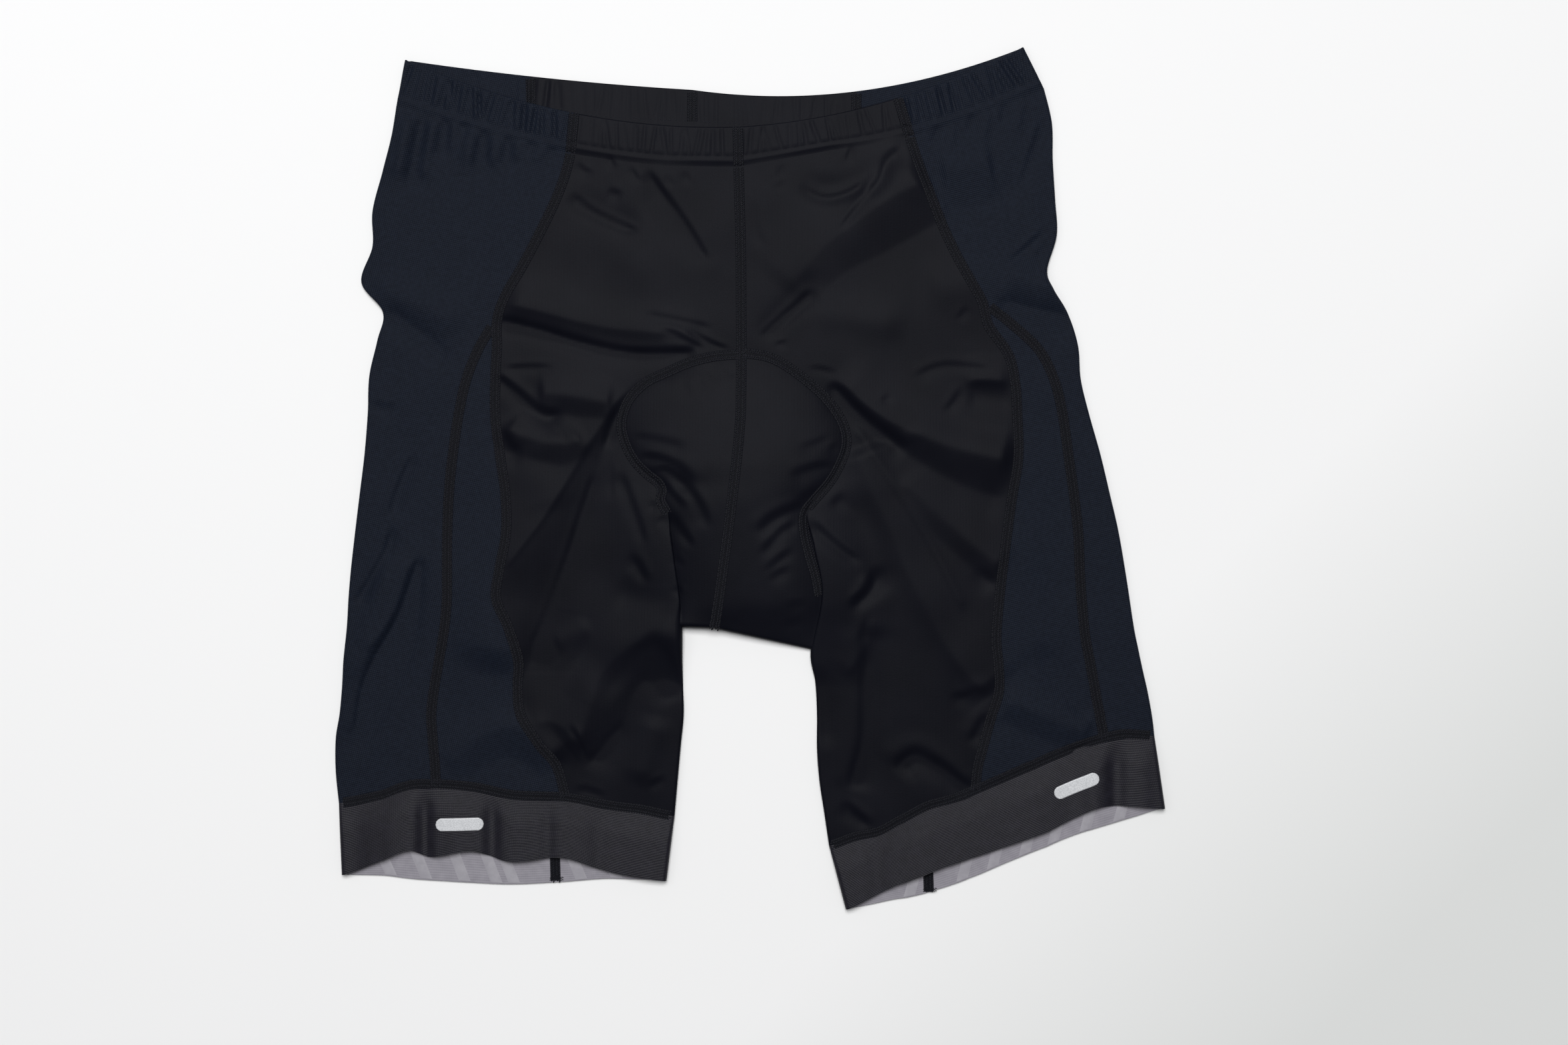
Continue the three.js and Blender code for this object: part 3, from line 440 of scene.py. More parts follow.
# %% Small creases
# Each row: width at the start and at the end, depth, and the points that the crease runs through.
# The side towards the waist is steep and the other side runs out softly, as in the photograph.
# A negative depth is a crest, steep on the side away from the waist.
CREASES = [
    # inside the pad's outline, left of the centre seam
    (1.2, 2.0, 0.25, [(-24.7, 71.3), (-17.8, 60.5)]),
    (1.2, 2.0, 0.3, [(-12.2, 70.7), (-8.7, 62.8)]),
    (1.4, 2.4, 0.22, [(-33.7, 63.9), (-26.9, 52.6)]),
    (1.6, 2.6, 0.22, [(-42.8, 63.9), (-36, 48)]),
    (1.4, 3.0, 0.5, [(-75, 26.4), (-56.5, 23), (-38, 17.3)]),
    (1.6, 3.4, 1.1, [(-71, 13.4), (-58.7, 12.2), (-45, 6), (-33.7, -7.6)]),
    (1.4, 2.6, 0.9, [(-62, 3.7), (-54, 5.4), (-45, 0.3), (-34.9, -11), (-29, -22), (-25.8, -32.6)]),
    (1.4, 1.8, 0.9, [(-58, 0.3), (-50.8, -7.6), (-38.3, -20.7)]),
    (2.6, 1.2, 1.0, [(-52, -21.3), (-42.8, -32.6), (-33.7, -44)]),
    (1.6, 1.2, 0.5, [(-47.4, -48.5), (-40.6, -55.4)]),
    (1.4, 1.2, 0.5, [(-45, -66.7), (-42.8, -73.5)]),
    # inside the pad's outline, right of the centre seam
    (1.4, 2.6, 0.4, [(51, 26.4), (40, 20.8), (28.7, 17.3)]),
    (1.4, 1.4, 0.4, [(55.4, 19.6), (49.2, 17.9)]),
    (1.6, 3.2, 0.8, [(55, 7), (44.6, 7), (34.4, 3.7), (24, -0.8)]),
    (1.6, 2.4, 0.5, [(44.6, -6.5), (34.4, -12.8), (27.6, -15)]),
    (2.2, 3.0, 1.2, [(36.7, -16), (20.8, -22.4), (11.7, -28), (4.9, -36)]),
    (1.4, 2.2, 0.8, [(31, -25.8), (20.8, -32.6), (11.7, -43), (7.2, -49.7)]),
    (1.4, 1.6, 0.4, [(28.7, -29), (23, -34)]),
    (1.4, 2.2, 0.7, [(28.7, -44), (18.5, -51), (9.4, -61)]),
    (1.4, 2.2, 0.7, [(26.5, -55.4), (17.4, -60.5), (11.7, -65.6)]),
    (1.2, 2.0, 0.4, [(36.7, -78), (20.8, -80.4)]),
    (1.2, 2.0, 0.3, [(34.4, -89.4), (18.5, -92.3)]),
    # round the pad's outline
    (3.0, 2.0, 0.7, [(60.5, -10), (50, -19)]),
    (2.4, 1.4, 1.0, [(36.7, -26.4), (45.8, -35), (59.4, -46), (70.8, -53)]),
    (3.4, 1.5, 2.0, [(76, -56), (78, -63), (74, -71), (67, -77), (60.5, -80)]),
    (2.4, 1.6, 0.5, [(75, -84), (68.5, -104)]),
    (1.2, 1.2, 0.4, [(35.6, 69.4), (47, 67.5), (54.6, 64.7)]),
    (2.6, 1.1, 1.2, [(41.3, 118.8), (31.8, 109.3), (18.5, 97.9), (7.1, 88.4)]),
    (1.4, 1.2, 0.4, [(23, 85.5), (16, 82.7)]),
    (2.2, 3.0, 1.4, [(48, 59), (55, 55), (63, 46), (73, 37), (85, 27), (100, 17)]),
    (2.0, 1.2, 0.8, [(-56.7, 92.9), (-45.3, 89.1), (-34, 83.4), (-26.4, 79.7)]),
    (1.8, 1.1, 0.6, [(-41.6, 94.8), (-26.4, 85.3), (-11.3, 79.7)]),
    (2.6, 1.6, 0.5, [(-68, 102.3), (-37.8, 96.7), (-22.7, 92.9)]),
    (2.4, 1.6, 0.6, [(-82.6, 4.8), (-77, -7.6), (-67.8, -32.6), (-65.5, -43)]),
    (1.6, 1.2, 0.5, [(-63, -15.6), (-57.6, -18)]),
    (1.6, 1.2, 0.5, [(-52, -23.6), (-57.6, -28)]),
    (2.6, 1.6, 1.0, [(-77.5, -48), (-71, -53), (-63, -66.7)]),
    # gathers that run on below the waistband
    (2.4, 4.0, 2.4, [(-204, 228), (-208, 208), (-213, 178)]),
    (2.4, 3.4, -2.0, [(-198, 226), (-200.5, 208), (-204, 184)]),
    (2.2, 3.2, -1.8, [(-212, 230), (-216, 210), (-220, 186)]),
    (2.0, 2.8, -1.4, [(-184, 225), (-185.5, 214), (-187, 200)]),
    (2.0, 2.8, -1.4, [(-173, 222), (-175, 210), (-177, 194)]),
    (2.0, 2.8, -1.4, [(-159, 218), (-160, 208), (-162, 193)]),
    (1.8, 2.6, -1.1, [(-144, 213), (-145, 206), (-146, 196)]),
    (1.6, 2.2, -0.9, [(-130, 209), (-131, 203), (-132, 195)]),
    (1.6, 2.2, -0.9, [(129, 224), (127, 216), (124, 204)]),
    (1.8, 2.4, -1.0, [(150, 231), (148, 222), (145, 208)]),
    (1.8, 2.4, -1.0, [(171, 238), (169, 228), (166, 214)]),
    (2.0, 3.4, 2.2, [(-190.5, 226), (-192, 214), (-194, 199)]),
    (2.2, 3.6, 2.3, [(-166, 219), (-168, 206), (-170, 186)]),
    (2.0, 3.2, 1.9, [(-151, 215), (-152, 205), (-153, 191)]),
    (2.0, 2.8, 1.0, [(-178, 226), (-180, 212)]),
    (1.8, 2.4, 0.8, [(-137, 212), (-138, 201)]),
    (1.8, 2.4, 0.8, [(-124, 208), (-126, 198)]),
    (1.2, 1.8, 0.4, [(-88, 202), (-84, 192)]),
    (1.2, 1.8, 0.4, [(-40, 192), (-38, 183)]),
    (1.2, 1.8, 0.4, [(20, 197), (18, 186)]),
    (1.2, 1.8, 0.4, [(64, 208), (60, 196)]),
    (1.8, 2.4, 0.8, [(118, 221), (114, 208)]),
    (1.8, 2.4, 0.8, [(140, 229), (136, 214)]),
    (1.8, 2.4, 0.8, [(160, 235), (157, 220)]),
    (1.2, 1.8, -0.8, [(181, 226), (174, 205), (166, 182)]),
    (1.4, 1.4, 0.9, [(186, 156), (174, 145), (160, 133)]),
    (1.5, 1.4, 0.9, [(185, -113), (199, -133), (213, -151)]),
    # the front above the pad, left
    (2.4, 2.0, 1.3, [(-159, 99), (-132.2, 92.5), (-107.7, 85.2), (-85, 79.5), (-64.2, 77.7), (-32, 79)]),
    (2.0, 1.4, 0.5, [(-109.6, 197.7), (-103.9, 192), (-96.3, 190.2)]),
    (2.6, 2.0, 0.6, [(-90.5, 179), (-78.5, 176)]),
    (2.4, 1.1, 0.7, [(-113.3, 177.9), (-102, 168.4), (-86.9, 160.9), (-68, 153.3)]),
    (2.4, 1.0, 0.85, [(-66, 193), (-58.6, 183.6), (-47.2, 168.4), (-37.8, 155.2), (-25.5, 135.4)]),
    (1.6, 1.2, 0.4, [(-75.6, 194.9), (-68, 183.6)]),
    (1.6, 1.2, 0.3, [(-52.9, 189.2), (-47.2, 181.7)]),
    (1.2, 1.6, 0.5, [(-154.9, 68.3), (-137.9, 69.3), (-120.9, 68.7)]),
    (1.8, 2.6, 1.5, [(-160, 65), (-147.3, 54.5), (-140, 48), (-133, 42.5), (-126, 39.5), (-116, 40)]),
    (1.2, 2.0, 1.1, [(-79, 48), (-84, 39), (-88, 29), (-91, 18)]),
    (2.6, 3.4, 1.2, [(-157, 33), (-153, 25), (-148, 18), (-140, 16)]),
    (1.0, 1.0, 0.3, [(-124, 35), (-117, 28), (-111, 21)]),
    (1.1, 1.3, 0.3, [(-86, 12), (-86.5, -2), (-86, -15)]),
    # the front above the pad, right
    (3.6, 2.0, 1.2, [(98, 206.5), (86.9, 198.6), (81.2, 185.3), (71.7, 175.8)]),
    (1.8, 1.8, 0.8, [(32.8, 185.4), (37.5, 178.7), (47, 174.9), (58.4, 176.8), (67.9, 181.5), (72.7, 187)]),
    (1.6, 1.2, 0.5, [(79.3, 181.5), (69.8, 172), (60.3, 160.6), (55.6, 154)]),
    (1.6, 1.6, 0.25, [(3.3, 173.9), (4.3, 154.9), (10.9, 143.5)]),
    (1.4, 1.4, 0.3, [(22.3, 187.2), (16.6, 179.6)]),
    (1.6, 1.6, 0.3, [(136.3, 107.4), (129.7, 97.9)]),
    (1.8, 1.6, 0.4, [(102, 61.8), (111.6, 67.5), (123, 70.4), (138.2, 69.4), (151.5, 67.5)]),
    (3.2, 3.2, -1.3, [(133, 58), (140, 61), (150, 61), (164, 60)]),
    (1.8, 1.4, 0.5, [(134, 58), (127, 47), (120, 40)]),
    (1.4, 1.4, 0.4, [(82, 47), (88, 52)]),
    # the left leg
    (1.1, 1.3, -0.5, [(-84, 45), (-98, 24), (-112, 1), (-128, -24), (-144, -45), (-154, -58)]),
    (1.3, 1.5, 0.5, [(-97, 4), (-105, -20), (-114, -48), (-124, -78), (-136, -106)]),
    (6, 6, -1.1, [(-138, -154), (-126, -151.5), (-117, -155), (-111, -161), (-108, -170)]),
    (1.6, 1.3, 0.8, [(-113, -153), (-109, -160), (-105, -167), (-102, -177)]),
    (5.5, 5.0, 1.3, [(-66, -97), (-57, -107), (-48, -121), (-40, -138)]),
    (2.6, 2.2, 0.35, [(-103, -178), (-94, -172), (-85, -161), (-78, -152)]),
    (1.5, 1.3, 0.5, [(-64, -193), (-58, -190), (-52, -187)]),
    (1.5, 1.3, 0.5, [(-111, -196.5), (-104, -194.5), (-98, -196), (-88, -199.5)]),
    (2.2, 3.0, 1.9, [(-206, -48), (-217, -84), (-234, -113), (-242, -136), (-244, -160)]),
    (2.4, 2.8, -1.2, [(-212, -50), (-223, -84), (-240, -110)]),
    (2.0, 2.4, 1.3, [(-223, -29), (-227, -45), (-236, -62), (-247, -80)]),
    (2.0, 2.6, 1.1, [(-209, 16), (-219, -6), (-225, -26)]),
    (1.8, 2.2, 0.9, [(-240, 48), (-229, 44), (-218, 45)]),
    # the right leg
    (1.3, 1.5, -0.7, [(64, 34), (78, 13), (92, -8), (106, -30), (120, -55), (134, -84)]),
    (12, 9, -2.4, [(66, 20), (76, -5), (84, -22), (91, -37), (97, -53), (104, -69), (112, -83), (119, -97),
                  (127, -110), (137, -123), (149, -137)]),
    (2.4, 2.4, 0.8, [(140, -56), (148, -62), (156, -69)]),
    (4.8, 3.8, 1.4, [(74, -92), (73.5, -115), (73, -140), (71.5, -165), (68, -180), (63.5, -196)]),
    (4.6, 3.6, -0.8, [(78, -84), (75, -99), (67, -113), (58, -125)]),
    (4.4, 2.4, 1.6, [(90, -184), (98, -176), (104, -173.5), (112, -177), (122, -183), (130, -189.5),
                     (140, -195)]),
    (2.4, 2.0, 1.2, [(57, -202), (64, -209), (70, -213.5), (77, -219)]),
    (2.6, 3.0, 1.1, [(150, -146), (146, -152), (142, -160), (137, -167)]),
    (2.4, 2.8, 0.9, [(124, -137), (134, -137), (143, -134), (151, -138)]),
    (2.2, 2.0, 0.5, [(188, 151), (176, 132.5)]),
]
CREASE_REACH = 5
CREASE_FADE = 9
CREASE_FADE_SHARE = 0.4
CREASE_OVERRUN = 0.5
CREST_POWER = 1.4
RIDGE_SHARE = 0.3
RIDGE_PLACE = 2.0
RIDGE_WIDTH = 1.6
SOFT_SIDE = 2.5
PATH_STEP = 3
FAR_AWAY = 1000.0


def smooth_path(points, step=1.5):
    """A polyline through points, smoothed, with a point about every step mm."""
    points = np.asarray(points, float)
    legs = np.hypot(*np.diff(points, axis=0).T)
    count = max(2, int(round(legs.sum() / step)) + 1)
    rows = np.interp(np.linspace(0, legs.sum(), count), np.append(0, np.cumsum(legs)), range(len(points)))
    return np.stack([along(points[:, 0], rows), along(points[:, 1], rows)], axis=-1)


def to_path(path, x, y, reach):
    """Distance to a path (positive on its left), the distance walked along it, and its length.
    Points outside the path's box, widened by reach, are FAR_AWAY."""
    shape = np.broadcast(x, y).shape
    px = np.broadcast_to(x, shape).ravel()
    py = np.broadcast_to(y, shape).ravel()
    away = np.full(px.size, FAR_AWAY)
    walked = np.zeros(px.size)
    low = path.min(axis=0) - reach
    high = path.max(axis=0) + reach
    near = np.flatnonzero((px > low[0]) & (px < high[0]) & (py > low[1]) & (py < high[1]))
    legs = np.hypot(*np.diff(path, axis=0).T)
    starts = np.append(0, np.cumsum(legs))
    for k in range(len(legs)):
        ux, uy = (path[k + 1] - path[k]) / legs[k]
        dx = px[near] - path[k, 0]
        dy = py[near] - path[k, 1]
        t = np.clip(dx * ux + dy * uy, 0, legs[k])
        side = np.sign(dy * ux - dx * uy)
        distance = np.hypot(dx - t * ux, dy - t * uy)
        closer = distance < np.abs(away[near])
        chosen = near[closer]
        away[chosen] = (distance * np.where(side == 0, 1, side))[closer]
        walked[chosen] = starts[k] + t[closer]
    return away.reshape(shape), walked.reshape(shape), starts[-1]


def crease_rise(x, y, creases):
    """Sum of the small creases at x and y."""
    rise = np.zeros(np.broadcast(x, y).shape)
    for start_width, end_width, depth, points in creases:
        path = smooth_path(points, PATH_STEP)
        reach = CREASE_REACH * max(start_width, end_width)
        away, walked, length = to_path(path, x, y, reach)
        run = path[-1] - path[0]
        if run[0] < 0 or (run[0] == 0 and run[1] > 0):
            away = -away
        width = mix(start_width, end_width, walked / length)
        fade = min(CREASE_FADE, length * CREASE_FADE_SHARE)
        ends = ease(walked, -CREASE_OVERRUN, fade)
        ends = ends * (1 - ease(walked, length - fade, length + CREASE_OVERRUN))
        if depth < 0:
            soft = np.where(away > 0, width * SOFT_SIDE, width)
            rise -= depth * ends * np.exp(-((np.abs(away) / soft) ** CREST_POWER))
            continue
        soft = np.where(away > 0, width, width * SOFT_SIDE)
        rise -= depth * ends * np.exp(-((away / soft) ** 2))
        from_ridge = (away - RIDGE_PLACE * width) / (RIDGE_WIDTH * width)
        rise += depth * RIDGE_SHARE * ends * np.exp(-(from_ridge**2))
    return rise


def face_rise(x, y, faces):
    """Sum of the leaning faces at x and y."""
    rise = np.zeros(np.broadcast(x, y).shape)
    for start_fall, end_fall, swing, crest_points, foot_points in faces:
        crest = smooth_path(crest_points, PATH_STEP)
        foot = smooth_path(foot_points, PATH_STEP)
        reach = max(FACE_REACH, 3 * swing)
        from_crest, walked, length = to_path(crest, x, y, reach)
        from_foot, foot_walked, foot_length = to_path(foot, x, y, reach)
        middle_x, middle_y = foot[len(foot) // 2][:, None]
        turn = np.sign(to_path(crest, middle_x, middle_y, FAR_AWAY)[0][0])
        down = from_crest * turn
        up = -from_foot * turn
        known = (np.abs(from_crest) < FAR_AWAY) & (np.abs(from_foot) < FAR_AWAY)
        share = np.clip(down / np.where(down + up == 0, 1, down + up), 0, 1)
        share = mix(share, ease(share, 0, 1), FACE_SMOOTH)
        t = mix(walked / length, foot_walked / foot_length, 0.5)
        fall = mix(start_fall, end_fall, t)
        ends = ease(t, *FACE_START) * (1 - ease(t, *FACE_END))
        between_lines = mix(CREST_SHARE, CREST_SHARE - 1, share)
        above = CREST_SHARE * np.exp(-((down / swing) ** 2))
        below = (CREST_SHARE - 1) * np.exp(-((up / swing) ** 2))
        shape = np.where(down < 0, above, np.where(up < 0, below, between_lines))
        rise += np.where(known, fall * ends * shape, 0)
    return rise


print("small creases:", len(CREASES))

# %% Gentle unevenness and the whole height
# Each swell: length and height in mm, and its direction as an angle.
SWELLS = [(77, 0.22, 0.4), (53, 0.14, 1.9), (39, 0.07, 2.8), (28, 0.03, 0.9)]
SWELL_BEND = 1.7
SWELL_BEND_LENGTH = 0.9
PAD_PULL = 0.45


def swell(x, y):
    """Cloth is never quite even: a few long waves of unlike length and direction."""
    rise = 0
    for i, (length, height, turn) in enumerate(SWELLS):
        across = x * math.cos(turn) + y * math.sin(turn)
        beside = y * math.cos(turn) - x * math.sin(turn)
        bend = SWELL_BEND * np.sin(beside / (length * SWELL_BEND_LENGTH) + i)
        rise = rise + height * np.sin(2 * math.pi * across / length + bend + 2 * i)
    return rise


def front_height(x, y, part="leg"):
    """Height of the front layer's outer face. The pad pulls the large folds over it flatter."""
    padded = pad_rise(x, y, part)
    free = 1 / (1 + PAD_PULL * padded)
    folds = free * fold_rise(x, y, FOLDS) + crease_rise(x, y, CREASES) + face_rise(x, y, FACES)
    height = FRONT_TOP + padded + folds + free * swell(x, y)
    return np.maximum(height, LOWEST_FRONT)


print("height over the pad:", round(float(front_height(np.array([0.0]), np.array([-20.0]))[0]), 1))

# %% [markdown]
# ## Sheets with a wall
# A piece of cloth is a grid of points on its outer face and the same grid on its inner face, joined
# round the rim. Blender's Solidify modifier would do the same to a plane, but it swells at tight
# folds. Here both faces are given, so a fold keeps its wall. Grids that share an edge are welded
# there, so the light runs over them without a break.

# %% The mesh maker
SHARP_EDGE = 55
WELD_CELLS_PER_MM = 500


def grid_faces(rows, columns, first):
    """Four-cornered faces of a grid whose points start at number first."""
    i, j = np.meshgrid(np.arange(rows - 1), np.arange(columns - 1), indexing="ij")
    corner = first + i * columns + j
    return np.stack([corner, corner + 1, corner + columns + 1, corner + columns], axis=-1).reshape(-1, 4)


def weld(points):
    """The different points of a list, and for each point of the list the number of its own."""
    keys = np.round(points * WELD_CELLS_PER_MM).astype(np.int64)
    _, firsts, numbers = np.unique(keys, axis=0, return_index=True, return_inverse=True)
    return firsts, numbers.ravel()


def volume_sign(points, faces):
    """Positive where the faces of a closed shell point outwards."""
    a, b, c, d = (points[faces[:, k]] for k in range(4))
    total = np.einsum("ij,ij->i", a, np.cross(b, c)) + np.einsum("ij,ij->i", a, np.cross(c, d))
    return total.sum()


def cloth_mesh(name, grids):
    """A shell from grids of (outer, inner, flat): two faces in mm and the cloth's own flat place."""
    outer = np.concatenate([g[0].reshape(-1, 3) for g in grids])
    inner = np.concatenate([g[1].reshape(-1, 3) for g in grids])
    flat = np.concatenate([g[2].reshape(-1, 2) for g in grids])
    faces = []
    first = 0
    for g in grids:
        rows, columns = g[0].shape[:2]
        faces.append(grid_faces(rows, columns, first))
        first += rows * columns
    firsts, numbers = weld(outer)
    faces = numbers[np.concatenate(faces)]
    outer, inner, flat = outer[firsts], inner[firsts], flat[firsts]
    whole = np.array([len(set(f)) == 4 for f in faces.tolist()])
    faces = faces[whole]
    count = len(outer)
    starts = faces.ravel()
    ends = np.roll(faces, -1, axis=1).ravel()
    codes = starts.astype(np.int64) * count + ends
    back = ends.astype(np.int64) * count + starts
    rim = ~np.isin(codes, back)
    a, b = starts[rim], ends[rim]
    walls = np.stack([b, a, a + count, b + count], axis=-1)
    every = np.concatenate([faces, faces[:, ::-1] + count, walls])
    points = np.concatenate([outer, inner])
    if volume_sign(points, every) < 0:
        every = every[:, ::-1]
    mesh = bpy.data.meshes.new(name)
    mesh.from_pydata((points * MM).tolist(), [], every.tolist())
    layer = mesh.uv_layers.new(name="cloth")
    corners = np.empty(len(mesh.loops), dtype=np.int64)
    mesh.loops.foreach_get("vertex_index", corners)
    places = np.concatenate([flat, flat])[corners] * MM
    layer.data.foreach_set("uv", places.astype(np.float32).ravel())
    mesh.polygons.foreach_set("use_smooth", [True] * len(mesh.polygons))
    mesh.set_sharp_from_angle(angle=math.radians(SHARP_EDGE))
    mesh.validate()
    return mesh


def wall_below(x, y, height, wall=CLOTH):
    """A grid of a nearly level sheet: its outer face at height, its inner face a wall below it."""
    height = np.broadcast_to(height, x.shape)
    outer = np.stack([x, y, height], axis=-1)
    inner = np.stack([x, y, height - wall], axis=-1)
    return outer, inner, np.stack([x, y], axis=-1)


print("faces of a grid of 3 by 4 points:", len(grid_faces(3, 4, 0)))

# %% Rows, columns and turned edges
# The lip is the fold inside the leg where it lies over the middle. It grows from nearly nothing in
# LIP_GROWS lines. The front's height beside a fold is read EDGE_READ mm inside it. The low folds of
# the cloth on the table are written like the large folds above.
ROWS_PER_LINE = 12
FOLD_CELLS = 8
LIP_START = {"left": 11.5, "right": 12.0}
LIP_RADIUS = 1.1
LIP_GROWS = 0.6
LIP_LEAST = 0.05
EDGE_READ = 1.8
WALL_SHARE = 0.9
UNDER_FOLDS = [
    (-24, -60, -130, -6, 6, 8, 0.5),
    (-30, -84, -150, -60, -5, 7, 0.45),
    (-60, -110, -150, -150, 4, 7, 0.4),
    (20, -70, 120, -14, -7, 8, 0.5),
    (34, -96, 150, -74, 6, 7, 0.4),
    (70, -130, 160, -178, -4, 7, 0.45),
    (-90, 60, -160, 20, 3, 8, 0.35),
    (80, 70, 150, 36, -4, 8, 0.35),
    (-60, 150, -110, 176, 3, 7, 0.35),
    (30, 160, 60, 110, 4, 7, 0.35),
]


def under_height(x, y):
    """Height of the outer face of the cloth that lies on the table: flat, with a few low folds."""
    return UNDER + np.maximum(fold_rise(x, y, UNDER_FOLDS), 0)


def rows_between(start, end):
    """Line numbers from start to end, one below the other."""
    return np.linspace(start, end, int(round((end - start) * ROWS_PER_LINE)) + 1)[:, None]


def spread(start, end, count):
    """Count cells from start to end, side by side."""
    return mix(start, end, np.linspace(0, 1, count + 1)[None, :])


def front_grid(side, rows, shares):
    """A grid of the front layer on the lines of a half."""
    x, y = on_line(side, rows, shares)
    return wall_below(x, y, front_height(x, y))


def join_columns(*grids):
    """Grids side by side as one. Each repeats the last column of the one before it."""
    kept = [grids[0]] + [[face[:, 1:] for face in g] for g in grids[1:]]
    return tuple(np.concatenate([g[k] for g in kept], axis=1) for k in range(3))


def under_grid(side, rows, shares):
    """A grid of the cloth on the table: its outer face looks down."""
    x, y = on_line(side, rows, shares)
    height = under_height(x, y)
    outer = np.stack([x, y, height], axis=-1)
    inner = np.stack([x, y, height + CLOTH], axis=-1)
    return outer, inner, np.stack([x, y], axis=-1)


def arc(x, top, bottom, outwards, radius, y_at):
    """A half round from top to bottom. x is the outermost point, and y_at gives y for an x."""
    angle = np.linspace(math.pi / 2, -math.pi / 2, FOLD_CELLS + 1)[None, :]
    middle_x = x - outwards * radius
    middle_z = (top + bottom) / 2
    half = (top - bottom) / 2
    wall = np.minimum(CLOTH, np.minimum(radius, half) * WALL_SHARE)
    out_x = middle_x + outwards * radius * np.cos(angle)
    in_x = middle_x + outwards * (radius - wall) * np.cos(angle)
    place_y = y_at(out_x)
    outer = np.stack([out_x, place_y, middle_z + half * np.sin(angle)], axis=-1)
    inner = np.stack([in_x, place_y, middle_z + (half - wall) * np.sin(angle)], axis=-1)
    walked = outwards * radius * (math.pi / 2 - angle)
    return outer, inner, np.stack([middle_x + walked, place_y], axis=-1)


def turned_edge(side, rows, end):
    """The cloth round a fold, and the share where the level front meets it. End 0 is the outer
    fold, and end 1 the fold inside the leg, which lies over the middle above the crotch."""
    x, y = on_line(side, rows, end)
    outwards = OUTWARDS[side] if end == 0 else -OUTWARDS[side]
    radius = (front_height(x - outwards * EDGE_READ, y) - UNDER) / 2
    free = np.ones_like(radius)
    if end == 1:
        free = ease(rows, CROTCH - 1, CROTCH)
        start = LIP_START[side]
        grown = LIP_LEAST + (1 - LIP_LEAST) * ease(rows, start, start + LIP_GROWS)
        radius = mix(LIP_RADIUS * grown, radius, free)
    middle_share = share_of(side, rows, x - outwards * radius)
    top = front_height(*on_line(side, rows, middle_share))
    bottom = mix(top - 2 * radius, UNDER, free)

    def y_at(at):
        return on_line(side, rows, share_of(side, rows, at))[1]

    return arc(x, top, bottom, outwards, radius, y_at), middle_share


print("rows from the waistband to the leg band:", len(rows_between(0, LAST)))

# %% [markdown]
# ## The cut pieces
# Six pieces make each leg: a navy side panel that turns round the outer fold, a navy wedge beside
# it, a black front panel that turns round the fold inside the leg, a black back panel, the
# waistband's casing and the leg band. Each is a grid between two of the measured seams. Cutting
# one big surface into colours would be quicker, but then no seam could be looked at from the side.

# %% What each kind of piece stands for and is made of
PIECE_FINISH = {
    "front": "black_knit",
    "side": "navy_mesh",
    "wedge": "navy_mesh",
    "back": "black_knit",
    "casing_front": "black_knit",
    "casing_side": "navy_mesh",
    "casing_back": "black_knit",
    "leg_band": "gripper_elastic",
}
NODES = {
    "front": "front_panel",
    "side": "side_panel",
    "wedge": "thigh_insert",
    "back": "back_panel",
    "casing_front": "waistband_front",
    "casing_side": "waistband_side",
    "casing_back": "waistband_back",
    "leg_band": "leg_gripper",
}
print("kinds of cut piece:", len(NODES))


def add_piece(kind, side, grids):
    """Makes a cut piece that stands for its solid and rides on the shorts."""
    name = f"{kind}_{side}"
    made = link(name, cloth_mesh(name, grids))
    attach(made, "root")
    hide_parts(f"{NODES[kind]}_{side}")
    area = sum(p.area for p in made.data.polygons) / 2
    print(name, "faces:", len(made.data.polygons), "area of one layer in m2:", round(area, 4))


# %% Side panels and wedges
SIDE_COLUMNS = 58
SIDE_UNDER_COLUMNS = 24
WEDGE_COLUMNS = 34


def back_seam_x(side, rows):
    """The seam on the underside between side and back panel."""
    at_waist, at_hem = BACK_SEAM[side]
    return mix(at_waist, at_hem, rows / LAST)


def inseam_x(side, rows):
    """The seam on the underside between back panel and the front panel's turned-under cloth."""
    start = along(LINES[side]["fold_x"], rows) + OUTWARDS[side] * INSEAM_START
    return mix(start, INSEAM_AT_HEM[side], ease(rows, CROTCH, LAST))


def make_side(side):
    """From the wedge's seam outwards, round the outer fold, and in to the back seam."""
    rows = rows_between(0, LAST)
    edge, meets = turned_edge(side, rows, 0)
    front = front_grid(side, rows, spread(seam_share(side, rows, "insert_x"), meets, SIDE_COLUMNS))
    back_share = share_of(side, rows, back_seam_x(side, rows))
    under = under_grid(side, rows, spread(meets, back_share, SIDE_UNDER_COLUMNS))
    add_piece("side", side, [join_columns(front, edge, under)])


def make_wedge(side):
    """Between the front panel's seam and the side panel's, from where they part."""
    rows = rows_between(JUNCTION, LAST)
    start = seam_share(side, rows, "seam_x")
    end = seam_share(side, rows, "insert_x")
    add_piece("wedge", side, [front_grid(side, rows, spread(start, end, WEDGE_COLUMNS))])


for side in OUTWARDS:
    make_side(side)
    make_wedge(side)

# %% Front panels
FRONT_COLUMNS = 66
MIDDLE_COLUMNS = 28
WRAP_COLUMNS = 24
TUCK = 3.0
TUCK_GROWS = 0.7
CROTCH_RADIUS = 2.4
CROTCH_CELLS = 8
CROTCH_TURN = 0.8


def centre_seam(rows):
    """The centre-front seam."""
    return along(CENTRE_X, rows), along(CENTRE_Y, rows)


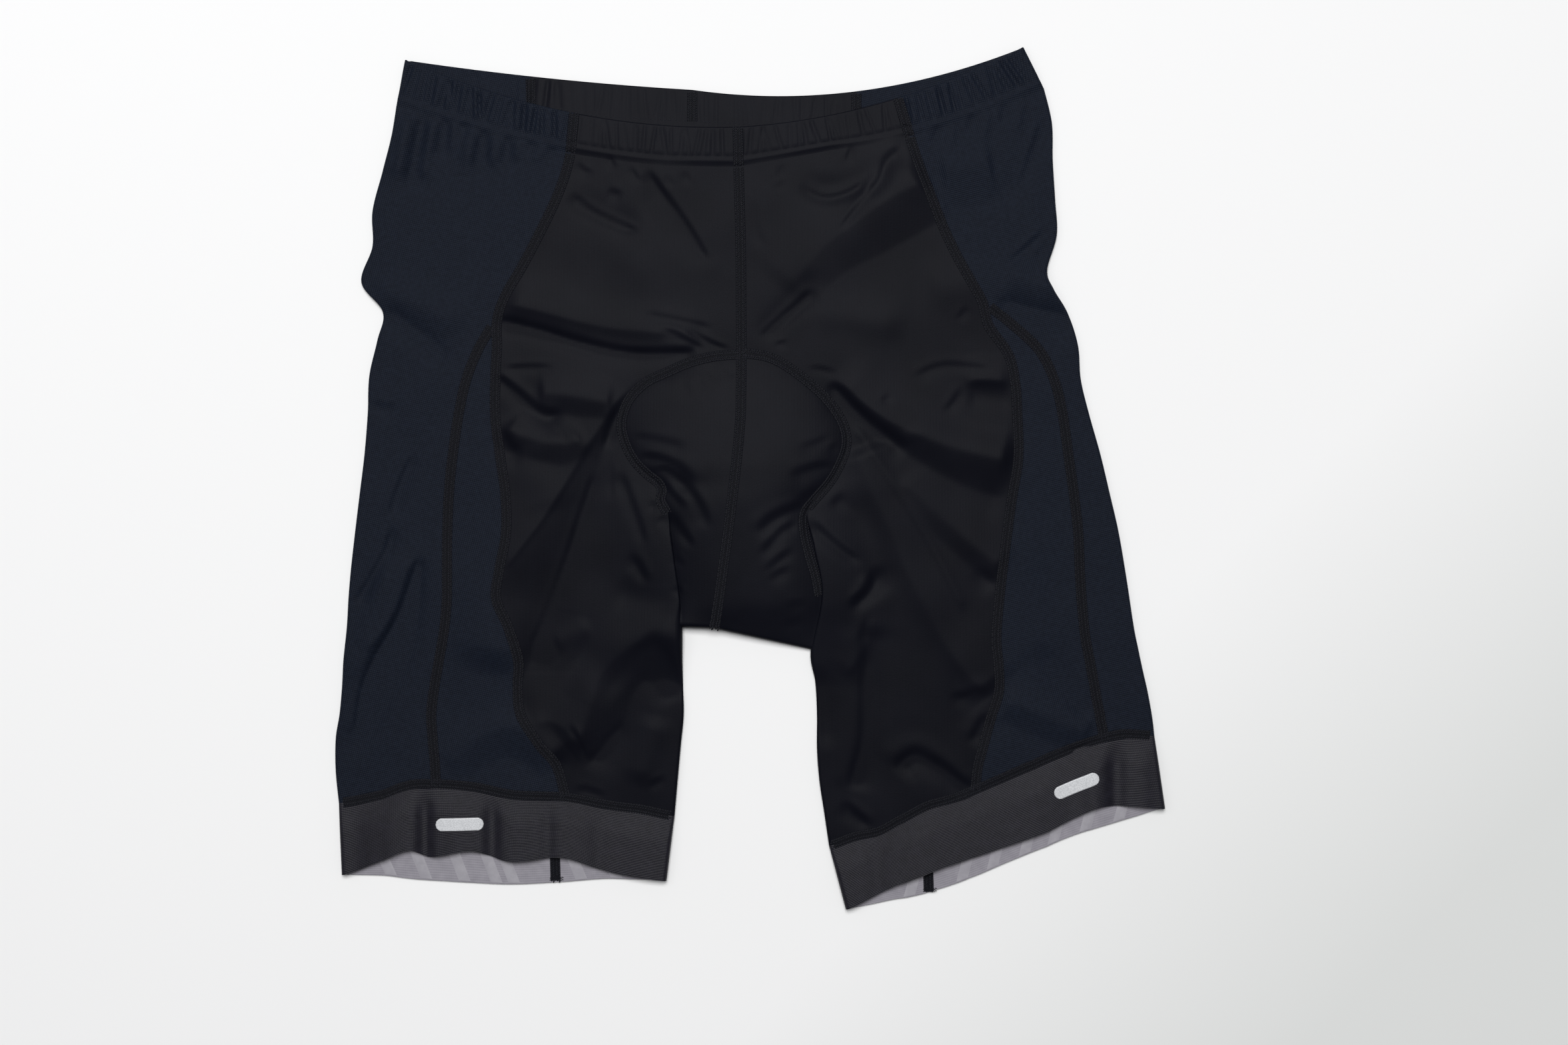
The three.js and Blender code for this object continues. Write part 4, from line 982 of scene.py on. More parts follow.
def middle_grid(side):
    """The front panel's cloth between the fold line and the centre seam. Its lower part goes a
    little under the leg's cloth, and its lower edge is turned under at the crotch."""
    rows = rows_between(0, CROTCH)
    start = LIP_START[side]
    fold_x, fold_y = on_line(side, rows, 1.0)
    fold_x = fold_x + OUTWARDS[side] * TUCK * ease(rows, start, start + TUCK_GROWS)
    end_x, end_y = centre_seam(rows)
    across = np.linspace(0, 1, MIDDLE_COLUMNS + 1)[None, :]
    x = mix(fold_x, end_x, across)
    y = mix(fold_y, end_y, across) + CROTCH_RADIUS * ease(rows, CROTCH - CROTCH_TURN, CROTCH)
    height = front_height(x, y, "middle")
    outer, inner, flat = wall_below(x, y, height)
    angle = np.linspace(math.pi / 2, -math.pi / 2, CROTCH_CELLS + 1)[1:, None]
    last_x, last_y, top = x[-1:], y[-1:], height[-1:]
    half = (top - UNDER) / 2
    turned_y = last_y - CROTCH_RADIUS * np.cos(angle)
    walked = last_y - CROTCH_RADIUS * (math.pi / 2 - angle)
    every_x = np.broadcast_to(last_x, turned_y.shape)
    turned = np.stack([every_x, turned_y, UNDER + half + half * np.sin(angle)], axis=-1)
    inner_y = last_y - (CROTCH_RADIUS - CLOTH) * np.cos(angle)
    inside = np.stack([every_x, inner_y, UNDER + half + (half - CLOTH) * np.sin(angle)], axis=-1)
    turned_flat = np.stack([every_x, walked], axis=-1)
    return tuple(np.concatenate(pair) for pair in ((outer, turned), (inner, inside), (flat, turned_flat)))


def make_front(side):
    """Leg, the fold inside the leg with the cloth it turns under, and the middle."""
    rows = rows_between(0, LAST)
    edge, meets = turned_edge(side, rows, 1)
    lip_row = int(round(LIP_START[side] * ROWS_PER_LINE))
    crotch_row = CROTCH * ROWS_PER_LINE
    end = np.where(np.arange(len(rows))[:, None] < lip_row, 1.0, meets)
    leg = front_grid(side, rows, spread(seam_share(side, rows, "seam_x"), end, FRONT_COLUMNS))
    edge = [face[lip_row:] for face in edge]
    for k in range(3):
        edge[k][:, 0] = leg[k][lip_row:, -1]
    low = rows[crotch_row:]
    inseam = share_of(side, low, inseam_x(side, low))
    wrap = list(under_grid(side, low, spread(meets[crotch_row:], inseam, WRAP_COLUMNS)))
    for k in range(3):
        wrap[k][:, 0] = edge[k][crotch_row - lip_row :, -1]
    add_piece("front", side, [leg, edge, wrap, middle_grid(side)])


for side in OUTWARDS:
    make_front(side)

# %% Back panels
BACK_COLUMNS = 28
BACK_MIDDLE_COLUMNS = 14
BACK_CROTCH_SPAN = 0.15


def make_back(side):
    """Flat on the table, from the side panel's seam to the centre back and the inseam."""
    rows = rows_between(0, LAST)
    start = share_of(side, rows, back_seam_x(side, rows))
    end = share_of(side, rows, inseam_x(side, rows))
    leg = under_grid(side, rows, spread(start, end, BACK_COLUMNS))
    high = rows_between(0, CROTCH)
    line_x, line_y = (leg[0][: len(high), -1:, k] for k in range(2))
    centre_x = mix(BACK_TOP_CENTRE[0], CENTRE_X[CROTCH], high / CROTCH)
    across = np.linspace(0, 1, BACK_MIDDLE_COLUMNS + 1)[None, :]
    x = mix(line_x, centre_x, across)
    y = mix(line_y, along(CENTRE_Y, high), across)
    turned = ease(high, CROTCH - CROTCH_TURN, CROTCH) * ease(across, 0, BACK_CROTCH_SPAN)
    y = y + CROTCH_RADIUS * turned
    height = under_height(x, y)
    outer = np.stack([x, y, height], axis=-1)
    inner = np.stack([x, y, height + CLOTH], axis=-1)
    add_piece("back", side, [leg, (outer, inner, np.stack([x, y], axis=-1))])


for side in OUTWARDS:
    make_back(side)

# %% [markdown]
# ## The gathered waistband
# The real waistband is a casing turned over an elastic, 25 mm deep and held by two rows of
# stitches. The elastic draws it into gathers that run across its depth and are uneven: deep on the
# navy parts, narrower and much shallower on the black. Each gather is a furrow with its own place,
# lean and depth. A sine wave would make them all alike, as on a machine-made grille.

# %% Gathers and the casing's lines
# A groove has its place above the casing's foot and its depth. A zone of gathers has its start and
# end x, pitch, depth and width. The ranges of the random draws are shares of a zone's pitch, depth
# and width, apart from the lean, which is a slope.
CASING_DEPTH = 25
CASING_TOP = 4.3
CASING_WALL = 1.9
CASING_GROOVES = [(0.7, 0.5), (6.2, 0.7)]
GROOVE_WIDTH = 0.75
GATHER_ZONES = [(-222, -113, 5.6, 1.0, 1.6), (-113, -7, 5.6, 0.3, 1.1), (-7, 100, 6.0, 0.3, 1.1),
                (100, 190, 6.0, 1.0, 1.5)]
FIRST_RANGE = (0.4, 0.9)
LEAN_RANGE = (-0.22, 0.22)
DEPTH_RANGE = (0.45, 1.25)
WIDTH_RANGE = (0.75, 1.3)
PITCH_RANGE = (0.6, 1.45)
LAST_GAP = 0.4
LEAN_MIDDLE = 12
GATHER_CREST = 0.35
GATHER_CREST_PLACE = 2.0
rng = np.random.default_rng(7)
gathers = []
for start, end, pitch, depth, width in GATHER_ZONES:
    x = start + pitch * rng.uniform(*FIRST_RANGE)
    while x < end - LAST_GAP * pitch:
        lean = rng.uniform(*LEAN_RANGE)
        gathers.append((x, lean, depth * rng.uniform(*DEPTH_RANGE), width * rng.uniform(*WIDTH_RANGE)))
        x += pitch * rng.uniform(*PITCH_RANGE)
print("gathers:", len(gathers))


def gather_rise(x, walked):
    """Furrows at x, where walked is the distance up from the casing's foot."""
    rise = 0
    for place, lean, depth, width in gathers:
        away = (x - place - lean * (walked - LEAN_MIDDLE)) / width
        crests = GATHER_CREST * np.exp(-((np.abs(away) - GATHER_CREST_PLACE) ** 2))
        rise = rise + depth * (crests - np.exp(-(away**2)))
    return rise


def casing_share_of(side, x):
    """How far along a half's front casing an x of its foot lies: 0 at the fold, 1 at the centre."""
    outer_x = LINES[side]["outer_x"][0]
    return (x - outer_x) / (CENTRE_X[0] - outer_x)


def on_casing(side, t, share):
    """x and y of a point of the front casing, t of the way from its foot to its top edge."""
    lines = LINES[side]
    leg_share = casing_share_of(side, lines["fold_x"][0])
    middle = (share - leg_share) / (1 - leg_share)
    leg_x, leg_y = on_line(side, 0.0, np.minimum(share / leg_share, 1))
    foot_x = np.where(share <= leg_share, leg_x, mix(lines["fold_x"][0], CENTRE_X[0], middle))
    foot_y = np.where(share <= leg_share, leg_y, mix(lines["fold_y"][0], CENTRE_Y[0], middle))
    corner_x, corner_y = WAIST_CORNER[side]
    top_x = mix(corner_x, FRONT_TOP_CENTRE[0], share)
    top_y = mix(corner_y, FRONT_TOP_CENTRE[1], share) + FRONT_TOP_BOW[side] * 4 * share * (1 - share)
    return mix(foot_x, top_x, t), mix(foot_y, top_y, t)


# %% Make a grid of the front casing
CASING_ROUND = 0.85
CASING_STEPS = np.concatenate([np.linspace(0, 0.95, 18), [0.965, 0.98, 0.99, 0.997, 1.0]])[:, None]
CASING_RAMP = 0.2
GATHERS_START = (5.6, 8.6)
EDGE_CALM = 0.75
EDGE_CALM_FROM = 0.86
THINNEST_WALL = 0.15


def rounded(distance, radius):
    """How far a rounded edge has dropped at a distance from it."""
    inside = np.clip((radius - distance) / radius, 0, 1)
    return radius * (1 - np.sqrt(1 - inside**2))


def casing_height(t, x, y, foot_x):
    """Height of the front casing's outer face."""
    walked = t * CASING_DEPTH
    strength = ease(walked, *GATHERS_START) * (1 - EDGE_CALM * ease(t, EDGE_CALM_FROM, 1.0))
    base = mix(front_height(x, y), CASING_TOP, ease(t, 0.0, CASING_RAMP))
    for place, depth in CASING_GROOVES:
        base = base - depth * np.exp(-(((walked - place) / GROOVE_WIDTH) ** 2))
    gathered = strength * gather_rise(foot_x, walked)
    return base + gathered - rounded((1 - t) * CASING_DEPTH, CASING_ROUND)


def casing_grid(side, t, shares):
    """A grid of the front casing."""
    x, y = on_casing(side, t, shares)
    foot_x = np.broadcast_to(on_casing(side, 0.0, shares)[0], x.shape)
    height = casing_height(t, x, y, foot_x)
    outer, inner, flat = wall_below(x, y, height, CASING_WALL)
    drop = 2 * rounded((1 - t) * CASING_DEPTH, CASING_ROUND)
    inner[..., 2] = np.minimum(inner[..., 2] + drop, height - THINNEST_WALL)
    return outer, inner, flat


print("rows up the casing:", len(CASING_STEPS))

# %% Back casing lines
# On the back casing's inside the gathers are shallower and stand a little beside the front ones.
INSIDE_SHARE = 0.6
INSIDE_SHIFT = 4
INSIDE_GATHERS = (24, 18)
INSIDE_CALM = 0.8
INSIDE_CALM_SPAN = 3.5


def back_foot_y(side, x):
    """y of the back casing's foot, which follows the panels' top edge on the underside."""
    inner_x = LINES[side]["fold_x"][0] + OUTWARDS[side] * INSEAM_START
    known_x = np.linspace(LINES[side]["outer_x"][0], inner_x, 30)
    known_y = on_line(side, 0.0, share_of(side, 0.0, known_x))[1]
    known_x = np.append(known_x, BACK_TOP_CENTRE[0])
    known_y = np.append(known_y, CENTRE_Y[0])
    order = np.argsort(known_x)
    return np.interp(x, known_x[order], known_y[order])


def back_top_y(side, x):
    """y of the back casing's top edge."""
    corner_x, corner_y = WAIST_CORNER[side]
    share = (x - corner_x) / (BACK_TOP_CENTRE[0] - corner_x)
    return mix(corner_y, BACK_TOP_CENTRE[1], share) + BACK_TOP_BOW[side] * 4 * share * (1 - share)


def inside_height_below(x, below):
    """Height of the back casing's inner face, below mm under its top edge."""
    strength = ease(below, *INSIDE_GATHERS) * (1 - INSIDE_CALM * ease(below, INSIDE_CALM_SPAN, 0.0))
    gathered = INSIDE_SHARE * strength * gather_rise(x + INSIDE_SHIFT, below)
    return UNDER + CASING_WALL + gathered - rounded(below, CASING_ROUND)


def back_casing_grid(side, t, x):
    """A grid of the back casing. Its outer face lies on the table, and its gathered inside shows
    above the front."""
    x = np.broadcast_to(x, np.broadcast(t, x).shape)
    top = back_top_y(side, x)
    y = mix(back_foot_y(side, x), top, t)
    below = top - y
    outer = np.stack([x, y, UNDER + rounded(below, CASING_ROUND)], axis=-1)
    inner = np.stack([x, y, inside_height_below(x, below)], axis=-1)
    return outer, inner, np.stack([x, y], axis=-1)


print("depth of the back casing at the centre:", BACK_TOP_CENTRE[1] - CENTRE_Y[0])

# %% Make the waistband
COLUMN_WIDTH = 0.95
INWARD_COLUMNS = 39


def columns_for(start, end):
    """How many fine columns fit between two places."""
    return int(round(abs(end - start) / COLUMN_WIDTH))


def make_casing(side):
    """The front part, the part that turns round the side, and the back part of a half."""
    seam_x = LINES[side]["seam_x"][0]
    outer_x = LINES[side]["outer_x"][0]
    at_seam = casing_share_of(side, seam_x)
    steps = CASING_STEPS
    shares = spread(at_seam, 1, columns_for(seam_x, CENTRE_X[0]))
    add_piece("casing_front", side, [casing_grid(side, steps, shares)])
    radius = (CASING_TOP - UNDER) / 2
    outwards = OUTWARDS[side]
    meets = casing_share_of(side, outer_x - outwards * radius)
    front = casing_grid(side, steps, spread(at_seam, meets, columns_for(seam_x, outer_x)))
    top = front[0][:, -1:, 2]
    middle_x = front[0][:, -1:, 0]
    foot_edge = middle_x + outwards * radius
    bottom = UNDER + rounded((1 - steps) * CASING_DEPTH, CASING_ROUND)

    def y_at(x):
        return on_casing(side, steps, casing_share_of(side, x - foot_edge + outer_x))[1]

    turned = arc(foot_edge, top, bottom, outwards, radius, y_at)
    back_seam = BACK_SEAM[side][0]
    back = back_casing_grid(side, steps, spread(middle_x, back_seam, INWARD_COLUMNS))
    turned[0][:, 0] = front[0][:, -1]
    turned[1][:, 0] = front[1][:, -1]
    add_piece("casing_side", side, [join_columns(front, turned, back)])
    centre = BACK_TOP_CENTRE[0]
    back_x = spread(back_seam, centre, columns_for(back_seam, centre))
    add_piece("casing_back", side, [back_casing_grid(side, steps, back_x)])


for side in OUTWARDS:
    make_casing(side)

# %% [markdown]
# ## The leg bands
# Each leg ends in a wide elastic band, a tube that lies flattened. Its front hem is wavy and a
# little shorter than its back hem, so the pale inside of the back shows below it, with slanting
# bands of silicone that hold it on the leg. The tube is one closed grid round the leg, with soft
# upright waves where the photograph is dark. The lining is a thin sheet of its own inside it.

# %% Make the leg bands
# Each wave: its x, its width and its rise. A trough has a negative rise.
BAND_WAVES = {
    "left": [(-246, 7, -0.7), (-225, 8, 0.5), (-203, 5.0, -2.7), (-183, 9, 0.9), (-161, 5.0, -2.5),
             (-146, 8, 0.5), (-126, 4.5, -1.3), (-110, 9, 0.5), (-94, 6, -0.9), (-70, 10, 0.5)],
    "right": [(80, 6, -0.9), (104, 12, 0.4), (156, 12, -0.5), (178, 10, 0.4), (200, 9, -0.6),
              (215, 6, 0.6), (229, 6.0, -2.7), (246, 5, 0.6)],
}
BAND_LIFT = 1.7
BAND_STEP = 0.3
BAND_STEP_SPAN = 0.1
WAVES_GROWN = 0.45
BAND_STEPS = np.concatenate([np.linspace(0, 0.97, 30), [0.985, 0.993, 1.0]])[:, None]
BAND_COLUMNS = 150
BAND_FLAT_WIDTH = 200
BAND_DEPTH = 46


def band_point(side, t, share, edge):
    """x and y on the band, t of the way from its seam to the front or back hem."""
    x, y = on_line(side, float(LAST), share)
    hem_x = mix(HEM[side]["outer_x"], HEM[side]["inner_x"], share)
    return mix(x, hem_x, t), mix(y, hem_line(side, edge, share), t)


def band_height(side, t, share, x):
    """Height of the band's front: the panels' height at the seam, and waves that grow to the hem."""
    seam_x, seam_y = on_line(side, float(LAST), share)
    grown = ease(t, 0.0, WAVES_GROWN)
    height = front_height(seam_x, seam_y) + BAND_STEP * ease(t, 0, BAND_STEP_SPAN) + BAND_LIFT * grown
    for place, width, rise in BAND_WAVES[side]:
        height = height + rise * grown * np.exp(-(((x - place) / width) ** 2))
    return np.maximum(height, LOWEST_FRONT)


def band_edge(side, t, end):
    """The band round a fold, and the share where the level front meets it."""
    x, _ = band_point(side, t, float(end), "front_y")
    outwards = OUTWARDS[side] if end == 0 else -OUTWARDS[side]
    start_x, _ = band_point(side, t, 0.0, "front_y")
    end_x, _ = band_point(side, t, 1.0, "front_y")
    height = band_height(side, t, float(end), x)
    radius = (height - UNDER) / 2
    meets = (x - outwards * radius - start_x) / (end_x - start_x)
    top = band_height(side, t, meets, x - outwards * radius)

    def y_at(at):
        return band_point(side, t, (at - start_x) / (end_x - start_x), "front_y")[1]

    return arc(x, top, np.full_like(top, UNDER), outwards, radius, y_at), meets


def make_band(side):
    """The tube as one closed grid: front, edge inside the leg, back and outer edge."""
    t = BAND_STEPS
    outer_edge, outer_meets = band_edge(side, t, 0)
    inner_edge, inner_meets = band_edge(side, t, 1)
    shares = spread(outer_meets, inner_meets, BAND_COLUMNS)
    x, y = band_point(side, t, shares, "front_y")
    front = wall_below(x, y, band_height(side, t, shares, x))
    back_x, back_y = band_point(side, t, shares, "back_y")
    back_outer = np.stack([back_x, back_y, np.full_like(back_x, UNDER)], axis=-1)
    back = (back_outer, back_outer + [0, 0, CLOTH], np.stack([back_x, back_y], axis=-1))
    across = [face[:, ::-1] for face in outer_edge]
    under = [face[:, ::-1] for face in back]
    for k in range(3):
        across[k][:, -1] = front[k][:, 0]
        across[k][:, 0] = under[k][:, -1]
        inner_edge[k][:, 0] = front[k][:, -1]
        inner_edge[k][:, -1] = under[k][:, 0]
    band = join_columns(across, front, inner_edge, under)
    start_x, _ = band_point(side, t, 0.0, "front_y")
    end_x, _ = band_point(side, t, 1.0, "front_y")
    place = (band[2][..., 0] - start_x) / (end_x - start_x)
    flat = np.stack([place * BAND_FLAT_WIDTH, np.broadcast_to(-t * BAND_DEPTH, place.shape)], axis=-1)
    add_piece("leg_band", side, [(band[0], band[1], flat)])


for side in OUTWARDS:
    make_band(side)

# %% [markdown]
# ## The lining and the silicone bands
# The inside of a leg band is a pale ribbed elastic with slanting bands of silicone that hold it on
# the skin. Only the strip below the front hem shows, but the lining is made as deep as the band,
# so a low view into the leg finds it too.

# %% Line the bands
# A silicone place is its distance at the hem from the outer fold. Farther in, the band leans back
# towards that fold, by SILICONE_RUN over the whole depth of the leg band.
LINING_GAP = 0.05
LINING_WALL = 0.2
LINING_ROWS = 24
LINING_COLUMNS = 120
LINING_DEPTH = (0.03, 0.999)
LINING_SHARES = (0.02, 0.98)
SILICONE_PLACES = {"left": [31, 53, 77, 97, 108, 150, 172], "right": [29, 50, 70, 88, 108, 127, 160]}
SILICONE_WIDTH = 7.5
SILICONE_RUN = 24
SILICONE_HEIGHT = 0.16
SILICONE_DEPTH = (0.35, 0.985)
SILICONE_ROWS = 14
SILICONE_ACROSS = np.array([-0.5, -0.3, 0.0, 0.3, 0.5])
SILICONE_LIFT = np.array([-0.05, 0.8, 1.0, 0.8, -0.05])


def lining_point(side, t, share):
    """A point on the inner face of the band's back."""
    x, y = band_point(side, t, share, "back_y")
    return np.stack([x, y, np.broadcast_to(UNDER + CLOTH + LINING_GAP, x.shape)], axis=-1)


def loose_mesh(name, points, faces, flat=None):
    """A mesh from points in mm, with a smooth face everywhere."""
    mesh = bpy.data.meshes.new(name)
    mesh.from_pydata((np.asarray(points, float) * MM).tolist(), [], [list(map(int, f)) for f in faces])
    if flat is not None:
        layer = mesh.uv_layers.new(name="cloth")
        corners = np.empty(len(mesh.loops), dtype=np.int64)
        mesh.loops.foreach_get("vertex_index", corners)
        layer.data.foreach_set("uv", (np.asarray(flat)[corners] * MM).astype(np.float32).ravel())
    mesh.polygons.foreach_set("use_smooth", [True] * len(mesh.polygons))
    mesh.validate()
    return mesh


def add_trim(name, mesh):
    """A small part that isn't a sheet of its own: it rides on the shorts."""
    made = link(name, mesh)
    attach(made, "root")


def make_lining(side):
    """A thin sheet on the inner face of the band's back."""
    name = f"band_lining_{side}"
    t = np.linspace(*LINING_DEPTH, LINING_ROWS)[:, None]
    place = lining_point(side, t, spread(*LINING_SHARES, LINING_COLUMNS))
    depth = np.broadcast_to(-t * BAND_DEPTH, place.shape[:2])
    flat = np.stack([place[..., 0], depth], axis=-1)
    lining = link(name, cloth_mesh("band_lining", [(place + [0, 0, LINING_WALL], place, flat)]))
    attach(lining, "root")


def make_silicone_bands(side):
    """The slanting silicone bands on a lining, as one mesh."""
    width = abs(HEM[side]["inner_x"] - HEM[side]["outer_x"])
    steps = np.linspace(*SILICONE_DEPTH, SILICONE_ROWS)[:, None]
    points = []
    faces = []
    for place in SILICONE_PLACES[side]:
        middle = place - SILICONE_RUN * (1 - steps)
        strip = lining_point(side, steps, (middle + SILICONE_ACROSS * SILICONE_WIDTH) / width)
        strip[..., 2] += LINING_WALL + SILICONE_LIFT * SILICONE_HEIGHT
        first = len(points) * SILICONE_ROWS * len(SILICONE_ACROSS)
        points.append(strip.reshape(-1, 3))
        faces.append(grid_faces(SILICONE_ROWS, len(SILICONE_ACROSS), first))
    mesh = loose_mesh("silicone", np.concatenate(points), np.concatenate(faces))
    add_trim(f"silicone_{side}", mesh)


for side in OUTWARDS:
    make_lining(side)
    make_silicone_bands(side)
    print(side, "lining made, silicone bands:", len(SILICONE_PLACES[side]))

# %% [markdown]
# ## Seams
# The pieces are joined edge to edge with flatlock: a flat ribbon of thread about 7 mm wide, with
# four rows of stitches in two pairs. The waistband is held by two single rows. A picture of thread
# on a flat ribbon would be cheaper, but it would not stand up from the cloth, so each stitch is a
# small bead of thread of its own, slanted like the loops of the real one.

# %% Thread tools
# A seam row has its offset from the seam's middle and the slant of its stitches in degrees.
SEAM_WIDTH = 6.6
SEAM_ROWS = [(-2.55, 24), (-1.15, -24), (1.15, 24), (2.55, -24)]
SEAM_PITCH = 1.65
SEAM_LIFT = 0.34
STITCH_LONG = 1.75
STITCH_WIDE = 0.85
STITCH_HIGH = 0.42
ROW_LONG = 2.3
ROW_WIDE = 0.6
ROW_HIGH = 0.3
ROW_LIFT = 0.1
ROW_PITCH = 3.1
BEAD_PLACE = 100
BEAD_SINK = 0.12
RIBBON_STEP = 1.2
RIBBON_ACROSS = np.array([-0.5, -0.46, -0.3, -0.1, 0, 0.1, 0.3, 0.46, 0.5])
RIBBON_LIFT = np.array([-0.4, 0.7, 1.0, 0.75, 0.55, 0.75, 1.0, 0.7, -0.4])


def walk(path, step):
    """Points every step mm on a path, the direction of the walk, and the distance walked."""
    legs = np.hypot(*np.diff(path, axis=0).T)
    starts = np.append(0, np.cumsum(legs))
    at = np.arange(step / 2, starts[-1], step)
    x = np.interp(at, starts, path[:, 0])
    y = np.interp(at, starts, path[:, 1])
    ahead = np.stack([np.gradient(np.interp(at, starts, path[:, k])) for k in range(2)], axis=-1)
    ahead /= np.maximum(np.hypot(*ahead.T), 1e-9)[:, None]
    return np.stack([x, y], axis=-1), ahead, at


def ribbon(path, height_at, up, width, lift):
    """A low ribbon of thread along a path, that follows the cloth under it."""
    places, ahead, at = walk(path, RIBBON_STEP)
    left = np.stack([-ahead[:, 1], ahead[:, 0]], axis=-1)
    offsets = RIBBON_ACROSS * width
    x = places[:, 0, None] + left[:, 0, None] * offsets
    y = places[:, 1, None] + left[:, 1, None] * offsets
    z = height_at(x, y) + up * RIBBON_LIFT * lift
    flat = np.stack([np.broadcast_to(at[:, None], x.shape), np.broadcast_to(offsets, x.shape)], axis=-1)
    return np.stack([x, y, z], axis=-1).reshape(-1, 3), grid_faces(*x.shape, 0), flat.reshape(-1, 2)


BEAD = np.array([(-0.5, 0, 0), (0.5, 0, 0), (-0.25, 0.5, 0), (0.25, 0.5, 0), (-0.25, -0.5, 0),
                 (0.25, -0.5, 0), (-0.2, 0, 1), (0.2, 0, 1)])
BEAD_FACES = [(0, 6, 2), (0, 4, 6), (2, 6, 7, 3), (4, 5, 7, 6), (1, 3, 7), (1, 7, 5)]


def stitches(path, height_at, up, rows, pitch, size, lift):
    """Beads of thread in rows beside a path. size is the length, width and height of a bead."""
    points = []
    faces = []
    count = 0
    for number, (offset, slant) in enumerate(rows):
        places, ahead, _ = walk(path, pitch)
        if number % 2:
            places = places + ahead * pitch / 2
        left = np.stack([-ahead[:, 1], ahead[:, 0]], axis=-1)
        middle = places + left * offset
        turn = math.radians(slant)
        along_bead = ahead * math.cos(turn) + left * math.sin(turn)
        across_bead = left * math.cos(turn) - ahead * math.sin(turn)
        base = height_at(middle[:, 0], middle[:, 1])
        for a, b, c in BEAD:
            flat_place = middle + along_bead * a * size[0] + across_bead * b * size[1]
            z = base + up * (lift - BEAD_SINK + c * size[2])
            points.append(np.column_stack([flat_place, z]))
        beads = len(middle)
        for face in BEAD_FACES:
            corners = np.array(face)[None, :] * beads + np.arange(beads)[:, None] + count
            faces.extend((corners if up > 0 else corners[:, ::-1]).tolist())
        count += len(BEAD) * beads
    return np.concatenate(points), faces


def front_at(part):
    """Height of the front layer as a function of x and y."""
    return lambda x, y: front_height(x, y, part)


def bead_flat(beads):
    """The beads' place on the flat thread: far beside the ribbon, so that they get the painted highlight.
    """
    return np.stack([beads[:, 0] + beads[:, 1], np.full(len(beads), BEAD_PLACE)], axis=-1)


def flatlock(name, path, height_at, up=1, width=SEAM_WIDTH, lift=SEAM_LIFT, high=STITCH_HIGH):
    """A flatlock seam: its ribbon and its four rows of stitches, as one piece."""
    points, faces, flat = ribbon(path, height_at, up, width, lift)
    rows = [(offset * width / SEAM_WIDTH, slant) for offset, slant in SEAM_ROWS]
    size = (STITCH_LONG, STITCH_WIDE * width / SEAM_WIDTH, high)
    beads, bead_faces = stitches(path, height_at, up, rows, SEAM_PITCH, size, lift)
    bead_faces = [[k + len(points) for k in face] for face in bead_faces]
    flat = np.concatenate([flat, bead_flat(beads)])
    mesh = loose_mesh(name, np.concatenate([points, beads]), faces.tolist() + bead_faces, flat)
    add_trim(name, mesh)
    print(name, "faces:", len(mesh.polygons))


def stitch_row(name, path, height_at, up=1, high=ROW_HIGH):
    """A single row of plain stitches."""
    size = (ROW_LONG, ROW_WIDE, high)
    beads, faces = stitches(path, height_at, up, [(0, 0)], ROW_PITCH, size, ROW_LIFT)
    mesh = loose_mesh(name, beads, faces, bead_flat(beads))
    add_trim(name, mesh)
    print(name, "faces:", len(mesh.polygons))


print("rows of stitches in a flatlock seam:", len(SEAM_ROWS))

# %% Seams of the front
PAD_BRAID_LEFT = [(-5.4, 77.4), (-22, 76), (-38, 72), (-52, 66), (-64.5, 60), (-74, 51), (-79, 41),
                  (-80, 31), (-77, 20), (-72, 11), (-64.5, 3), (-57, -3), (-54.6, -8), (-55.5, -14),
                  (-51.5, -21.5)]
PAD_BRAID_RIGHT = [(-5.4, 77.4), (0, 77.6), (12, 75.5), (23, 70), (36, 60.5), (47, 50.5), (56, 38.5),
                   (60, 28), (60, 19), (56, 8), (49.5, -3), (40, -14), (34.2, -22), (34, -33),
                   (37, -47), (41, -60.5), (43.5, -73)]
PAD_SEAM_LIFT = 0.5
SEAM_SPAN = (0.012, 0.988)
WEDGE_SEAM_START = JUNCTION + 0.2


def line_path(side, name, start, end):
    """A measured seam between two line numbers."""
    rows = np.linspace(start, end, int((end - start) * ROWS_PER_LINE) + 1)
    x, y = on_line(side, rows, seam_share(side, rows, name))
    return np.stack([x, y], axis=-1)


def across_path(side, row, start, end, count=80):
    """A line across a half, between two shares."""
    return np.stack(on_line(side, float(row), np.linspace(start, end, count)), axis=-1)


on_leg = front_at("leg")
on_middle = front_at("middle")
for side in OUTWARDS:
    flatlock(f"seam_front_{side}", line_path(side, "seam_x", 0, LAST), on_leg)
    flatlock(f"seam_wedge_{side}", line_path(side, "insert_x", WEDGE_SEAM_START, LAST), on_leg)
    flatlock(f"seam_band_{side}", across_path(side, LAST, *SEAM_SPAN), on_leg)
down_rows = np.linspace(0, CROTCH, 200)
flatlock("seam_centre_front", np.stack(centre_seam(down_rows), axis=-1), on_middle)
flatlock("pad_braid_left", smooth_path(PAD_BRAID_LEFT), on_leg, lift=PAD_SEAM_LIFT)
flatlock("pad_braid_right", smooth_path(PAD_BRAID_RIGHT), on_middle, lift=PAD_SEAM_LIFT)

# %% Seams of the waistband
CASING_ROW_PLACES = (0.03, 0.25)
CASING_ROW_SPAN = (0.012, 0.995)
CASING_SEAM_SPAN = (0.0, 0.975)


